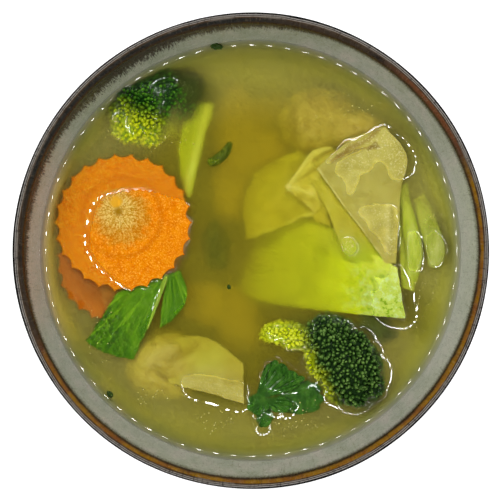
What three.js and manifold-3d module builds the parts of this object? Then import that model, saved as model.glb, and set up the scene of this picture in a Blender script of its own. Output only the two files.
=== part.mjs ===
// A bowl of wonton soup: a round stoneware bowl of clear broth, with two wontons, a crinkle-cut carrot
// slice, two broccoli florets, a cabbage leaf, pak choi stalks and green leaves that break its surface.
// Millimetres, +Z up. The origin is the middle of the foot ring's underside. Seen from above, +X is to
// the right and +Y points away from the eater.

import * as THREE from "three";
import { mergeVertices } from "three/addons/utils/BufferGeometryUtils.js";
import Module from "manifold-3d";

const wasm = await Module();
wasm.setup();

// Driving sizes of the bowl
const RIM_RADIUS = 80;
const BOWL_HEIGHT = 64;
const LIP_THICKNESS = 4;
const LIP_DROP = 2.5; // from the top of the lip to where the wall begins
const FLOOR_HEIGHT = 9.5; // inside the bowl, at its middle
const FOOT_RADIUS = 36.5;
const FOOT_WIDTH = 5;
const FOOT_HEIGHT = 4.5;
const FOOT_RECESS = 3.6; // how far the underside lies above the ring's
const FOOT_EDGE = 0.7; // chamfer along the foot ring
const AROUND = 48; // facets round the bowl

// Driving sizes of what the bowl holds
const BROTH_LEVEL = 50.6;
const MENISCUS = { width: 1.6, rise: 0.7 };
const GAP = 0.3; // between the broth and everything it meets
const WRAPPER = 1.1; // thickness of a wonton wrapper
const LEAF = 1;
const CABBAGE = 2.2;

const point = (x, y, z) => new THREE.Vector3(x, y, z);
const afloat = (x, y, above) => point(x, y, BROTH_LEVEL + above);
const mix = THREE.MathUtils.lerp;
const GOLDEN_ANGLE = Math.PI * (3 - Math.sqrt(5));

// Closed solids and how they are joined

// A solid from a geometry, faced outwards whichever way its triangles run
function solidOf(geometry) {
  const bare = geometry.index ? geometry.toNonIndexed() : geometry;
  const places = new THREE.BufferGeometry().setAttribute("position", bare.getAttribute("position"));
  const merged = mergeVertices(places, 1e-4);
  const vertProperties = merged.attributes.position.array;
  const triVerts = new Uint32Array(merged.index.array);
  const solid = new wasm.Manifold(new wasm.Mesh({ numProp: 3, vertProperties, triVerts }));
  if (solid.volume() > 0) return solid;
  return new wasm.Manifold(new wasm.Mesh({ numProp: 3, vertProperties, triVerts: triVerts.reverse() }));
}

function joined(solids) {
  return solids.reduce((whole, next) => whole.add(next));
}

function largest(solid) {
  return solid.decompose().reduce((best, next) => (next.volume() > best.volume() ? next : best));
}

function geometryOf(solid) {
  const made = solid.getMesh();
  const places = new THREE.BufferAttribute(new Float32Array(made.vertProperties), made.numProp);
  const geometry = new THREE.BufferGeometry().setAttribute("position", places);
  return geometry.setIndex(new THREE.BufferAttribute(new Uint32Array(made.triVerts), 1));
}

function fromTriangles(places, triangles) {
  const geometry = new THREE.BufferGeometry().setFromPoints(places);
  return solidOf(geometry.setIndex(triangles));
}

// A thin closed solid about the middle surface at(u, v). Both faces are split alike, and a rim joins
// them. grow thickens it and pushes its edge out, for the pocket that it leaves in the broth, which
// has about half the steps.
function sheet(at, thickness, alongSteps, acrossSteps, grow = 0) {
  if (grow > 0) {
    alongSteps = Math.ceil(alongSteps / 2);
    acrossSteps = Math.ceil((acrossSteps * 2) / 3);
    grow *= 2.4;
  }
  const places = [];
  const triangles = [];
  const step = 1e-3;
  const rows = alongSteps + 1;
  const columns = acrossSteps + 1;
  for (const side of [1, -1]) {
    for (let i = 0; i < rows; i++) {
      for (let j = 0; j < columns; j++) {
        const [u, v] = [i / alongSteps, j / acrossSteps];
        const along = at(u + step, v).sub(at(u - step, v)).normalize();
        const across = at(u, v + step).sub(at(u, v - step)).normalize();
        const normal = along.clone().cross(across).normalize();
        const place = at(u, v).addScaledVector(normal, side * (thickness / 2 + grow));
        const endwards = across.cross(normal).multiplyScalar((i === alongSteps) - (i === 0));
        const sidewards = normal.cross(along).multiplyScalar((j === acrossSteps) - (j === 0));
        const outwards = endwards.clone().add(sidewards).divideScalar(1 + endwards.dot(sidewards));
        places.push(place.addScaledVector(outwards, grow));
      }
    }
  }
  const index = (side, i, j) => side * rows * columns + i * columns + j;
  for (let i = 0; i < alongSteps; i++) {
    for (let j = 0; j < acrossSteps; j++) {
      const [a, b, c, d] = [index(0, i, j), index(0, i + 1, j), index(0, i + 1, j + 1), index(0, i, j + 1)];
      const under = rows * columns;
      triangles.push(a, b, c, a, c, d, a + under, c + under, b + under, a + under, d + under, c + under);
    }
  }
  const rim = [];
  for (let j = 0; j < acrossSteps; j++) rim.push([0, j]);
  for (let i = 0; i < alongSteps; i++) rim.push([i, acrossSteps]);
  for (let j = acrossSteps; j > 0; j--) rim.push([alongSteps, j]);
  for (let i = alongSteps; i > 0; i--) rim.push([i, 0]);
  rim.forEach(([i, j], n) => {
    const [k, l] = rim[(n + 1) % rim.length];
    const [a, b, c, d] = [index(0, i, j), index(0, k, l), index(1, k, l), index(1, i, j)];
    triangles.push(a, b, c, a, c, d);
  });
  return fromTriangles(places, triangles);
}

// Spots in turn, each as x, y and its height above the broth
function spots(...values) {
  const places = [];
  for (let i = 0; i < values.length; i += 3) places.push(afloat(...values.slice(i, i + 3)));
  return places;
}

// A middle surface stretched between four corners in turn, near to far along u, with an offset on it
function patch([nearLeft, nearRight, farRight, farLeft], offset) {
  return (u, v) => {
    const near = nearLeft.clone().lerp(nearRight, v);
    const far = farLeft.clone().lerp(farRight, v);
    return near.lerp(far, u).add(offset(u, v));
  };
}

const swell = (u, v) => Math.sin(Math.PI * u) * Math.sin(Math.PI * v);

// A tube of elliptic sections along a smooth path, with halfWidth and halfHeight as functions of u
function tube(path, halfWidth, halfHeight, steps, sides, grow = 0) {
  if (grow > 0) steps = Math.ceil((steps * 2) / 3);
  const curve = new THREE.CatmullRomCurve3(path);
  const up = point(0, 0, 1);
  const places = [];
  const triangles = [];
  for (let i = 0; i <= steps; i++) {
    const u = i / steps;
    const tangent = curve.getTangentAt(u);
    const side = tangent.clone().cross(up).normalize();
    const rise = side.clone().cross(tangent).normalize();
    const centre = curve.getPointAt(u).addScaledVector(tangent, grow * ((i === steps) - (i === 0)));
    for (let j = 0; j < sides; j++) {
      const angle = (2 * Math.PI * j) / sides;
      const place = centre.clone().addScaledVector(side, Math.cos(angle) * (halfWidth(u) + 1.5 * grow));
      places.push(place.addScaledVector(rise, Math.sin(angle) * (halfHeight(u) + 1.5 * grow)));
    }
  }
  for (let i = 0; i < steps; i++) {
    for (let j = 0; j < sides; j++) {
      const [a, b] = [i * sides + j, i * sides + ((j + 1) % sides)];
      triangles.push(a, a + sides, b, b, a + sides, b + sides);
    }
  }
  for (let j = 1; j < sides - 1; j++) {
    const last = steps * sides;
    triangles.push(0, j, j + 1, last, last + j + 1, last + j);
  }
  return fromTriangles(places, triangles);
}

const tapered = (middle, ends) => (u) => mix(ends, middle, Math.sin(Math.PI * u) ** 0.6);

// An ellipsoid with a relief: share(direction) multiplies its three half sizes. The pocket that it
// leaves in the broth has coarser facets, and is made larger so that they clear it.
function blob({ centre, half, turn = 0 }, detail, share, grow = 0) {
  const coarse = Math.ceil(detail / 2);
  const ball = new THREE.IcosahedronGeometry(1, grow > 0 ? coarse : detail);
  const clear = grow > 0 ? 1 / Math.cos(0.9 / (coarse + 1)) : 1;
  const places = ball.getAttribute("position");
  const direction = new THREE.Vector3();
  for (let i = 0; i < places.count; i++) {
    direction.fromBufferAttribute(places, i).normalize();
    const reach = half.clone().multiplyScalar(clear * share(direction)).addScalar(grow * 2);
    places.setXYZ(i, direction.x * reach.x, direction.y * reach.y, direction.z * reach.z);
  }
  return solidOf(ball.rotateZ(turn).translate(...centre));
}

// The bowl and its broth

const INNER_STEPS = 8;
const lipMiddle = RIM_RADIUS - LIP_THICKNESS / 2;
const wallTop = BOWL_HEIGHT - LIP_DROP;
const innerWall = new THREE.CubicBezierCurve(
  new THREE.Vector2(0, FLOOR_HEIGHT),
  new THREE.Vector2(50, FLOOR_HEIGHT),
  new THREE.Vector2(68, 37),
  new THREE.Vector2(RIM_RADIUS - LIP_THICKNESS, wallTop),
);
const outerWall = new THREE.CubicBezierCurve(
  new THREE.Vector2(RIM_RADIUS, wallTop),
  new THREE.Vector2(76, 40),
  new THREE.Vector2(58, 20),
  new THREE.Vector2(FOOT_RADIUS + 1.5, FOOT_HEIGHT + 2.5),
);

function turned(profile) {
  const geometry = new THREE.LatheGeometry(profile, AROUND);
  return solidOf(geometry.rotateX(Math.PI / 2));
}

function bowl() {
  const lip = new THREE.EllipseCurve(lipMiddle, wallTop, LIP_THICKNESS / 2, LIP_DROP, 0, Math.PI);
  const footInner = FOOT_RADIUS - FOOT_WIDTH;
  const foot = [
    new THREE.Vector2(0, FOOT_RECESS),
    new THREE.Vector2(footInner - 1, FOOT_RECESS),
    new THREE.Vector2(footInner, FOOT_EDGE),
    new THREE.Vector2(footInner + FOOT_EDGE, 0),
    new THREE.Vector2(FOOT_RADIUS - FOOT_EDGE, 0),
    new THREE.Vector2(FOOT_RADIUS, FOOT_EDGE),
  ];
  const outside = outerWall.getPoints(5).reverse();
  const inside = innerWall.getPoints(INNER_STEPS).reverse();
  return turned([...foot, ...outside, ...lip.getPoints(4).slice(1, -1), ...inside]);
}

// The broth follows every second ring of the inner wall at a gap, and the last ones up to its meniscus
function brothBody() {
  const wall = innerWall.getPoints(INNER_STEPS).map((place, i) => {
    const along = innerWall.getTangent(i / INNER_STEPS);
    return new THREE.Vector2(place.x - along.y * GAP, place.y + along.x * GAP);
  });
  const top = BROTH_LEVEL + MENISCUS.rise;
  const above = wall.findIndex(({ y }) => y > top);
  const [low, high] = [wall[above - 1], wall[above]];
  const edge = low.clone().lerp(high, (top - low.y) / (high.y - low.y));
  return turned([
    new THREE.Vector2(0, FLOOR_HEIGHT + GAP),
    ...wall.slice(1, above).filter((_, i) => i % 2 === above % 2),
    edge,
    new THREE.Vector2(edge.x - MENISCUS.width / 3, BROTH_LEVEL + MENISCUS.rise / 3),
    new THREE.Vector2(edge.x - MENISCUS.width, BROTH_LEVEL),
    new THREE.Vector2(0, BROTH_LEVEL),
  ]);
}

// Chopped herb flecks that float on the broth, fused to it
const FLECKS = [
  { x: -7.3, y: -13, width: 1.2, length: 1.6, turn: 0.4 },
  { x: -47.4, y: -48.8, width: 1.8, length: 2.4, turn: 0.7 },
  { x: -11, y: 67, width: 2.2, length: 4, turn: 1.5 },
];
const FLECK_RISE = 0.5;

function fleck({ x, y, width, length, turn }) {
  const box = new THREE.BoxGeometry(width, length, 2 * FLECK_RISE);
  return solidOf(box.rotateZ(turn).translate(x, y, BROTH_LEVEL));
}

// The carrot slice: its edge is cut into grooves that meet in points, and its top swells a little
const CARROT = {
  x: -43.7,
  y: 9.3,
  radius: 23.4,
  thickness: 4.6,
  grooves: 26,
  groove: 1.5,
  above: -0.1,
  swell: 1.2,
  tilt: 0.09,
  highSide: -0.65, // direction of the side that stands out of the broth, in radians from +X
};

function carrotSlice(grow = 0) {
  const perGroove = 3;
  const count = CARROT.grooves * perGroove;
  const rings = [0.5, 1];
  const places = [];
  const triangles = [];
  const high = point(Math.cos(CARROT.highSide), Math.sin(CARROT.highSide), 0);
  const put = (share, angle, bottom) => {
    const edge = CARROT.radius - CARROT.groove * Math.abs(Math.sin((CARROT.grooves * angle) / 2)) ** 0.8;
    const radius = (mix(CARROT.radius, edge, share ** 4) + grow) * share;
    const place = point(radius * Math.cos(angle), radius * Math.sin(angle), 0);
    place.z = CARROT.tilt * place.dot(high) + CARROT.above;
    place.z += bottom ? -CARROT.thickness - grow : CARROT.swell * (1 - share ** 2) + grow;
    places.push(place.add(afloat(CARROT.x, CARROT.y, 0)));
  };
  put(0, 0, false);
  for (const share of rings) {
    for (let i = 0; i < count; i++) put(share, (2 * Math.PI * i) / count, false);
  }
  for (let i = 0; i < count; i++) put(1, (2 * Math.PI * i) / count, true);
  put(0, 0, true);
  const last = places.length - 1;
  for (let i = 0; i < count; i++) {
    const next = (i + 1) % count;
    triangles.push(0, 1 + i, 1 + next);
    for (let ring = 0; ring < rings.length; ring++) {
      const [a, b] = [1 + ring * count + i, 1 + ring * count + next];
      triangles.push(a, a + count, b + count, a, b + count, b);
    }
    triangles.push(last, last - count + next, last - count + i);
  }
  return fromTriangles(places, triangles);
}

// Broccoli: small round heads spread over a dome by the golden angle, each rough with buds. Along a
// direction the crown reaches as far as the farthest head.
const BUDS = { depth: 0.035, count: 17 };

function crown({ centre, half, turn, heads, headShare, detail }, grow) {
  const middles = Array.from({ length: heads }, (_, i) => {
    const rise = 1 - (1.5 * (i + 0.5)) / heads;
    const out = Math.sqrt(1 - rise * rise);
    const place = point(out * Math.cos(i * GOLDEN_ANGLE), out * Math.sin(i * GOLDEN_ANGLE), rise);
    return place.multiplyScalar(1 - headShare * (1.1 + 0.1 * Math.sin(2.4 * i)));
  });
  const share = (d) => {
    const reaches = middles.map((middle) => {
      const near = d.dot(middle);
      const inside = headShare ** 2 - middle.lengthSq() + near ** 2;
      return inside > 0 ? near + Math.sqrt(inside) : 0;
    });
    const { depth, count } = BUDS;
    const buds = Math.sin(count * d.x) * Math.sin(count * d.y + 1) * Math.sin(count * d.z + 2);
    if (grow > 0) return Math.max(1 - 0.8 * headShare, ...reaches) + depth / 2;
    return Math.max(1 - 1.35 * headShare, ...reaches) + depth * buds;
  };
  return blob({ centre, half, turn }, detail, share, grow);
}

const BIG_CROWN = {
  centre: afloat(33, -39, -3.4),
  half: point(17.6, 13.9, 11.2),
  turn: -1.05,
  heads: 18,
  headShare: 0.34,
  detail: 7,
};
const ARM_CROWN = {
  centre: afloat(13.6, -29.8, -1.9),
  half: point(6.8, 4.8, 4),
  turn: -0.2,
  heads: 8,
  headShare: 0.42,
  detail: 4,
};
const SMALL_CROWN = {
  centre: afloat(-33.6, 46.2, -3.6),
  half: point(12.8, 11.4, 9),
  turn: 0.15,
  heads: 14,
  headShare: 0.36,
  detail: 5,
};

function stem(from, to, radius, grow) {
  return tube([from, to], radius, radius, 2, 7, grow);
}

function bigBroccoli(grow = 0) {
  const foot = afloat(17, -26, -17);
  const fork = afloat(22, -31, -8);
  return joined([
    crown(BIG_CROWN, grow),
    crown(ARM_CROWN, grow),
    stem(foot, fork, () => 4.2, grow),
    stem(fork.clone().lerp(foot, 0.2), BIG_CROWN.centre, (u) => mix(4.2, 5.2, u), grow),
    stem(fork.clone().lerp(foot, 0.2), ARM_CROWN.centre, () => 1.9, grow),
  ]);
}

function smallBroccoli(grow = 0) {
  const foot = afloat(-21, 38, -18);
  return joined([crown(SMALL_CROWN, grow), stem(foot, SMALL_CROWN.centre, (u) => mix(3.4, 4.6, u), grow)]);
}

// Wontons: a filled pouch with pleats, and the flaps of its wrapper
const pleats = (count, depth) => (d) =>
  1 + depth * Math.sin(count * Math.atan2(d.y, d.x) + 2 * d.z) * Math.sqrt(1 - Math.abs(d.z));

function flap(edges, bulge, waves, steps, grow) {
  const offset = (u, v) =>
    point(0, 0, bulge * swell(u, v) + waves.depth * Math.sin(waves.count * Math.PI * v + waves.start) * u);
  return sheet(patch(edges, offset), WRAPPER, ...steps, grow);
}

// Its main flap stands out of the broth. Behind it lie a second layer and two sunk ones.
function farWonton(grow = 0) {
  const main = spots(23.2, 27.8, -0.6, 46.4, 41, 0.9, 54, 31.6, 1.8, 50, -2.6, -0.2);
  const second = spots(21.2, 23.4, -2.7, 38, 34, -2.4, 46.5, -1.6, -1.3, 35, -4.6, -1.9);
  const fan = spots(12.8, 22.2, -4.6, 21, 35, -5.2, 31, 36, -3.6, 22.4, 13, -4.4);
  const sunk = spots(-1.6, 4.2, -9.4, 5, 27, -10.4, 22, 33.5, -7.6, 22, 12, -6);
  return joined([
    blob({ centre: afloat(26, 42, -11.5), half: point(13.5, 11.5, 8.5) }, 3, pleats(7, 0.05), grow),
    blob({ centre: afloat(33, 35, -5.9), half: point(8.5, 6.5, 4.8) }, 2, pleats(5, 0.08), grow),
    flap(main, 2.2, { count: 2, depth: 0.3, start: 0.5 }, [6, 5], grow),
    flap(second, 0.5, { count: 2, depth: 0.35, start: 2 }, [5, 4], grow),
    flap(fan, 0.8, { count: 3, depth: 0.45, start: 0 }, [3, 5], grow),
    flap(sunk, 1.2, { count: 3, depth: 0.5, start: 1 }, [3, 5], grow),
  ]);
}

// Its tail is folded along a ridge that breaks the surface
function nearWonton(grow = 0) {
  const ridge = spots(-24, -43.8, 0.4, -2.6, -46.8, 1.5);
  const upper = [...ridge, ...spots(-2.6, -39.4, -1.6, -30, -30, -3.2)];
  const lower = [...spots(-21.4, -46.6, -1, -2.6, -53.4, -1.4), ridge[1], ridge[0]];
  return joined([
    blob({ centre: afloat(-27, -37, -9.6), half: point(14.5, 12.5, 8.7) }, 3, pleats(8, 0.05), grow),
    flap(upper, 0.6, { count: 2, depth: 0.3, start: 0 }, [5, 4], grow),
    flap(lower, 0.2, { count: 1, depth: 0.2, start: 0 }, [5, 3], grow),
  ]);
}

// The cabbage leaf slopes from its tip, out of the broth, down towards the middle of the bowl
function cabbageLeaf(grow = 0) {
  const leaf = spots(53.4, -23.6, 1.7, 50.4, -7.2, -2.4, 14, 11, -13, -2, -13, -13.4);
  const offset = (u, v) => {
    const bow = -1.6 * Math.sin(Math.PI * u) * (1 - v);
    return point(0, bow, 2 * swell(u, v) + 0.5 * Math.sin(5 * v) * u);
  };
  return sheet(patch(leaf, offset), CABBAGE, 8, 5, grow);
}

// Pak choi stalks
function innerStalk(grow = 0) {
  const path = spots(53.6, 20, -4.6, 55.3, 9, -1.6, 56.4, 0, 0.4, 55.8, -7, -0.5, 55.1, -13.4, -3);
  return tube(path, tapered(2.7, 1.8), tapered(1.7, 1.1), 8, 10, grow);
}

function outerStalk(grow = 0) {
  const path = spots(59.6, 15.6, -5, 62.2, 8, -2, 64, -1, 0.2, 63.6, -7.4, -0.9);
  return tube(path, tapered(3.5, 1.6), tapered(1.9, 1), 8, 10, grow);
}

// The green leaf by the carrot, in two parts on either side of its fold
function broadLeaf(grow = 0) {
  const leaf = spots(-31, -13.2, -1.3, -45.6, -15.6, -2.2, -56, -31.6, -2.2, -41.4, -37.6, -1);
  const offset = (u, v) => {
    const round = 2.6 * Math.sin(Math.PI * v) * u ** 2;
    const wave = 0.55 * Math.sin(3.5 * Math.PI * v + 0.5) * u;
    return point(-0.6 * round, -0.8 * round, 1.2 * swell(u, v) + wave);
  };
  const rib = spots(-31, -13.6, -0.8, -35.8, -24.5, -0.1, -40.6, -35.8, -0.8);
  return joined([
    sheet(patch(leaf, offset), LEAF, 6, 6, grow),
    tube(rib, (u) => mix(1.5, 0.8, u), (u) => mix(1, 0.6, u), 5, 6, grow),
  ]);
}

function narrowLeaf(grow = 0) {
  const leaf = spots(-25, -9.4, -1.2, -28.6, -12, -1.4, -31, -26, 0.2, -23.6, -19.6, 0.3);
  const offset = (u, v) => {
    const bow = 1.6 * Math.sin(Math.PI * u) * (1 - v);
    return point(bow, 0, 0.5 * swell(u, v) + 0.2 * Math.sin(6 * v) * u);
  };
  return sheet(patch(leaf, offset), LEAF, 7, 4, grow);
}

// The dark herb leaf: three lobes that fan out from its stem
function herbLeaf(grow = 0) {
  const lobe = (edges, folds, depth) => {
    const offset = (u, v) => {
      const round = 1.8 * Math.sin(Math.PI * v) * u ** 2;
      return point(0.3 * round, 0.6 * round, depth * Math.sin(folds * Math.PI * v) * u + 0.5 * swell(u, v));
    };
    return sheet(patch(edges, offset), LEAF, 4, 6, grow);
  };
  return joined([
    lobe(spots(0.2, -54.6, -0.8, 6, -55.6, -0.7, 16.6, -45.2, 0.7, 5.6, -40.6, 0.9), 5, 0.4),
    lobe(spots(3.4, -54.2, -1, 4.6, -58, -1.2, 20.6, -57.4, -1.8, 17.6, -50, -1.3), 4, 0.32),
    lobe(spots(3.4, -54, -1.1, 0.4, -54.4, -1.1, 0, -58.4, -1.5, 6.6, -59.6, -1.4), 1, 0.2),
  ]);
}

// A curl of spring onion
function onionCurl(grow = 0) {
  const path = spots(-14.4, 30, 0, -11.6, 30.9, 0.3, -8.6, 33.4, -0.5, -6.7, 36.8, -1.3);
  return tube(path, tapered(1.35, 0.8), tapered(1.2, 0.7), 7, 7, grow);
}

// Colours, roughness and the list of nodes

function finish(color, roughness) {
  return new THREE.MeshStandardMaterial({ color, roughness, metalness: 0 });
}

const TOPPINGS = {
  carrot_slice: { make: carrotSlice, material: finish("#e8850d", 0.4) },
  broccoli_big: { make: bigBroccoli, material: finish("#2f4a1f", 0.55) },
  broccoli_small: { make: smallBroccoli, material: finish("#5d7d1c", 0.55) },
  wonton_far: { make: farWonton, material: finish("#c3b95c", 0.35) },
  wonton_near: { make: nearWonton, material: finish("#b5a84e", 0.35) },
  cabbage_leaf: { make: cabbageLeaf, material: finish("#a9c23a", 0.35) },
  stalk_inner: { make: innerStalk, material: finish("#a5b63c", 0.35) },
  stalk_outer: { make: outerStalk, material: finish("#a3a84e", 0.35) },
  leaf_broad: { make: broadLeaf, material: finish("#4f8419", 0.4) },
  leaf_narrow: { make: narrowLeaf, material: finish("#558a18", 0.4) },
  herb_leaf: { make: herbLeaf, material: finish("#35601d", 0.45) },
  onion_curl: { make: onionCurl, material: finish("#52661c", 0.4) },
};

function broth() {
  const pockets = joined(Object.values(TOPPINGS).map(({ make }) => make(GAP)));
  return largest(joined([brothBody(), ...FLECKS.map(fleck)]).subtract(pockets));
}

function node(name, solid, material) {
  const mesh = new THREE.Mesh(geometryOf(solid), material);
  mesh.name = name;
  return mesh;
}

const soup = new THREE.Group();
soup.add(node("bowl", bowl(), finish("#5a4a3c", 0.25)));
soup.add(node("broth", broth(), finish("#86802e", 0.1)));
for (const [name, { make, material }] of Object.entries(TOPPINGS)) {
  soup.add(node(name, make(), material));
}

export default soup;
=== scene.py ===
"""A bowl of wonton soup, seen from straight above.

Everything is in metres, with the origin under the middle of the bowl's foot ring, +Z up, +X to the
photograph's right and +Y to its top. Shapes are worked out in millimetres and scaled as they are made.
"""

import math

import bmesh
import bpy
import numpy as np
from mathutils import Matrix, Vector, noise
from mathutils.bvhtree import BVHTree


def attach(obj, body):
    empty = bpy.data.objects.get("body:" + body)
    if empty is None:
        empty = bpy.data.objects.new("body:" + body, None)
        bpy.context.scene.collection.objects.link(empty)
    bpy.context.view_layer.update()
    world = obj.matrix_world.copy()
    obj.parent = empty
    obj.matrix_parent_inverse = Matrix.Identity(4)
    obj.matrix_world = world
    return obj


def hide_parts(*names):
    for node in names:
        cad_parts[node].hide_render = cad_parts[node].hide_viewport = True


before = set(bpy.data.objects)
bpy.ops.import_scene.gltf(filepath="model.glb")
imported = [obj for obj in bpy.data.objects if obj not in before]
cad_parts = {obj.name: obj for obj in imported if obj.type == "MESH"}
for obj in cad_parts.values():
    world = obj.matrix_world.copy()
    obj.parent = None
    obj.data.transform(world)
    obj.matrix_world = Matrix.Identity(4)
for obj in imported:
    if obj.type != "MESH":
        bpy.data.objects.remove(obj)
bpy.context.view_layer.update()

MM = 0.001

# The bowl, in millimetres, as in the solids
RIM = 80.0
HEIGHT = 64.0
LIP = 4.0
LIP_DROP = 2.5
FLOOR = 9.5
FOOT = 36.5
FOOT_WIDTH = 5.0
FOOT_HEIGHT = 4.5
FOOT_RECESS = 3.6
WALL_TOP = HEIGHT - LIP_DROP
LEVEL = 50.6

# The camera's distance, and the photograph's frame of 500 pixels at the rim and at the broth
CAMERA_ABOVE_RIM = 400.0
CAMERA_ABOVE_BROTH = CAMERA_ABOVE_RIM + HEIGHT - LEVEL
FRAME_AT_RIM = 166.6
PIXEL_AT_BROTH = FRAME_AT_RIM / 500 * CAMERA_ABOVE_BROTH / CAMERA_ABOVE_RIM
PIXEL_CENTRE = (251.2, 250.8)
WATER_IOR = 1.33


def px(x, y, above=0.0):
    """The place seen at a pixel of the photograph, at a height above the broth, in millimetres."""
    scale = PIXEL_AT_BROTH * (1 - above / ((WATER_IOR if above < 0 else 1.0) * CAMERA_ABOVE_BROTH))
    return np.array([(x - PIXEL_CENTRE[0]) * scale, (PIXEL_CENTRE[1] - y) * scale, LEVEL + above])


def at(x, y, above=0.0):
    """A place in millimetres from the photograph's centre, at a height above the broth."""
    return np.array([x - 0.41, y + 0.45, LEVEL + above])


def linear(colour):
    """A linear colour from three values of 0 to 255 as on the screen. Anything else stays as it is."""
    if not isinstance(colour, tuple) or len(colour) != 3:
        return colour
    values = [c / 255 for c in colour]
    return tuple(v / 12.92 if v <= 0.04045 else ((v + 0.055) / 1.055) ** 2.4 for v in values) + (1.0,)


# Meshes


def mesh_object(name, places, faces, look, smooth=True):
    """A mesh object from places in millimetres and faces of any size."""
    mesh = bpy.data.meshes.new(name)
    mesh.from_pydata((np.asarray(places, dtype=float) * MM).tolist(), [], [tuple(f) for f in faces])
    mesh.validate()
    mesh.update()
    mesh.polygons.foreach_set("use_smooth", [smooth] * len(mesh.polygons))
    mesh.materials.append(look)
    obj = bpy.data.objects.new(name, mesh)
    bpy.context.scene.collection.objects.link(obj)
    return obj


def grid_faces(rows, columns, wrap=False):
    faces = []
    for i in range(rows - 1):
        for j in range(columns if wrap else columns - 1):
            k = (j + 1) % columns
            a, b = i * columns + j, i * columns + k
            faces.append((a, a + columns, b + columns, b))
    return faces


def capped(rings, ends, turned=False):
    """Places and faces of a closed skin over rings of places, with a point at each end."""
    rows, columns = len(rings), len(rings[0])
    faces = grid_faces(rows, columns, wrap=True)
    if turned:
        faces = [f[::-1] for f in faces]
    first, end = rows * columns, (rows - 1) * columns
    for j in range(columns):
        k = (j + 1) % columns
        a, b = (k, j) if turned else (j, k)
        faces += [(first, a, b), (first + 1, end + b, end + a)]
    return np.concatenate([*rings, ends]), faces


def joined(parts):
    """Places and faces of one mesh from those of its parts."""
    places, faces, base = [], [], 0
    for p, f in parts:
        places.append(p)
        faces += [[v + base for v in face] for face in f]
        base += len(p)
    return np.concatenate(places), faces


def around(count):
    """Evenly spaced angles of a full turn."""
    return np.arange(count) * 2 * math.pi / count


def turned_by(angle):
    """The matrix that turns rows of places about Z."""
    c, s = math.cos(angle), math.sin(angle)
    return np.array([[c, s, 0], [-s, c, 0], [0, 0, 1]])


def unit(vectors):
    return vectors / np.linalg.norm(vectors, axis=-1, keepdims=True)


def spline(points, count):
    """Places spaced evenly in parameter along a smooth curve through the points."""
    points = np.asarray(points, dtype=float)
    ends = [2 * points[0] - points[1], 2 * points[-1] - points[-2]]
    p = np.concatenate([[ends[0]], points, [ends[1]]])
    t = np.linspace(0, len(points) - 1, count)
    i = np.minimum(t.astype(int), len(points) - 2)
    f = (t - i)[:, None]
    a, b, c, d = p[i], p[i + 1], p[i + 2], p[i + 3]
    return 0.5 * (2 * b + (c - a) * f + (2 * a - 5 * b + 4 * c - d) * f**2 + (3 * b - a - 3 * c + d) * f**3)


def ripple(places, size, amount, seed=0.0):
    """Uneven heights for places, from seeded noise with features of a size in millimetres."""
    moved = np.asarray(places) * (1.0 / size) + [seed, -seed, 0.0]
    return np.array([amount * noise.fractal(Vector(p), 0.8, 2.0, 3) for p in moved])


def thicken(name, grid, look, thickness):
    """A thin closed solid round a grid of places. Its thickness falls to under half at the rim."""
    rows, columns = grid.shape[:2]
    uu, vv = np.meshgrid(np.linspace(0, 1, rows), np.linspace(0, 1, columns), indexing="ij")
    middle = grid.reshape(-1, 3)
    normal = np.cross(np.gradient(grid, axis=0), np.gradient(grid, axis=1))
    normal = (normal / (np.linalg.norm(normal, axis=2, keepdims=True) + 1e-9)).reshape(-1, 3)
    rim = np.minimum.reduce([uu, 1 - uu, vv, 1 - vv]).reshape(-1)
    half = thickness / 2 * (0.45 + 0.55 * np.clip(rim / 0.06, 0, 1) ** 0.5)
    faces = grid_faces(rows, columns)
    count = rows * columns
    faces += [tuple(i + count for i in f[::-1]) for f in faces]
    loop = border(rows, columns)
    for a, b in zip(loop, loop[1:] + loop[:1]):
        faces.append((a, a + count, b + count, b))
    if normal[:, 2].mean() < 0:
        faces = [f[::-1] for f in faces]
    places = np.concatenate([middle + normal * half[:, None], middle - normal * half[:, None]])
    return mesh_object(name, places, faces, look)


def border(rows, columns):
    """The places round a grid, in order."""
    loop = [(0, j) for j in range(columns - 1)] + [(i, columns - 1) for i in range(rows - 1)]
    loop += [(rows - 1, j) for j in range(columns - 1, 0, -1)] + [(i, 0) for i in range(rows - 1, 0, -1)]
    return [i * columns + j for i, j in loop]


def hills(grid, spots, most=9.0):
    """Raises a grid near spots of (pixel x, pixel y, radius in pixels, height in mm), by most at most."""
    raised = np.zeros(grid.shape[:2])
    for x, y, radius, height in spots:
        c = px(x, y)
        d = np.hypot(grid[:, :, 0] - c[0], grid[:, :, 1] - c[1]) / (radius * PIXEL_AT_BROTH)
        raised += height * np.exp(-(d**2))
    grid[:, :, 2] += np.where(raised > 0, most * (1 - np.exp(-raised / most)), raised)


def creases(grid, lines):
    """Folds a grid along straight lines of (x0, y0, x1, y1, width, height) in pixels and mm."""
    for x0, y0, x1, y1, width, height in lines:
        a, b = px(x0, y0)[:2], px(x1, y1)[:2]
        length = np.linalg.norm(b - a)
        way = (b - a) / length
        rel = grid[:, :, :2] - a
        along = rel @ way
        past = np.maximum(np.maximum(-along, along - length), 0)
        across = np.hypot(rel[:, :, 0] * way[1] - rel[:, :, 1] * way[0], past) / (width * PIXEL_AT_BROTH)
        grid[:, :, 2] += height * np.exp(-np.abs(across) ** 1.3)


def roughen(grid, size, amount, seed, axis=2):
    grid[:, :, axis] += ripple(grid.reshape(-1, 3), size, amount, seed).reshape(grid.shape[:2])


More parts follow.
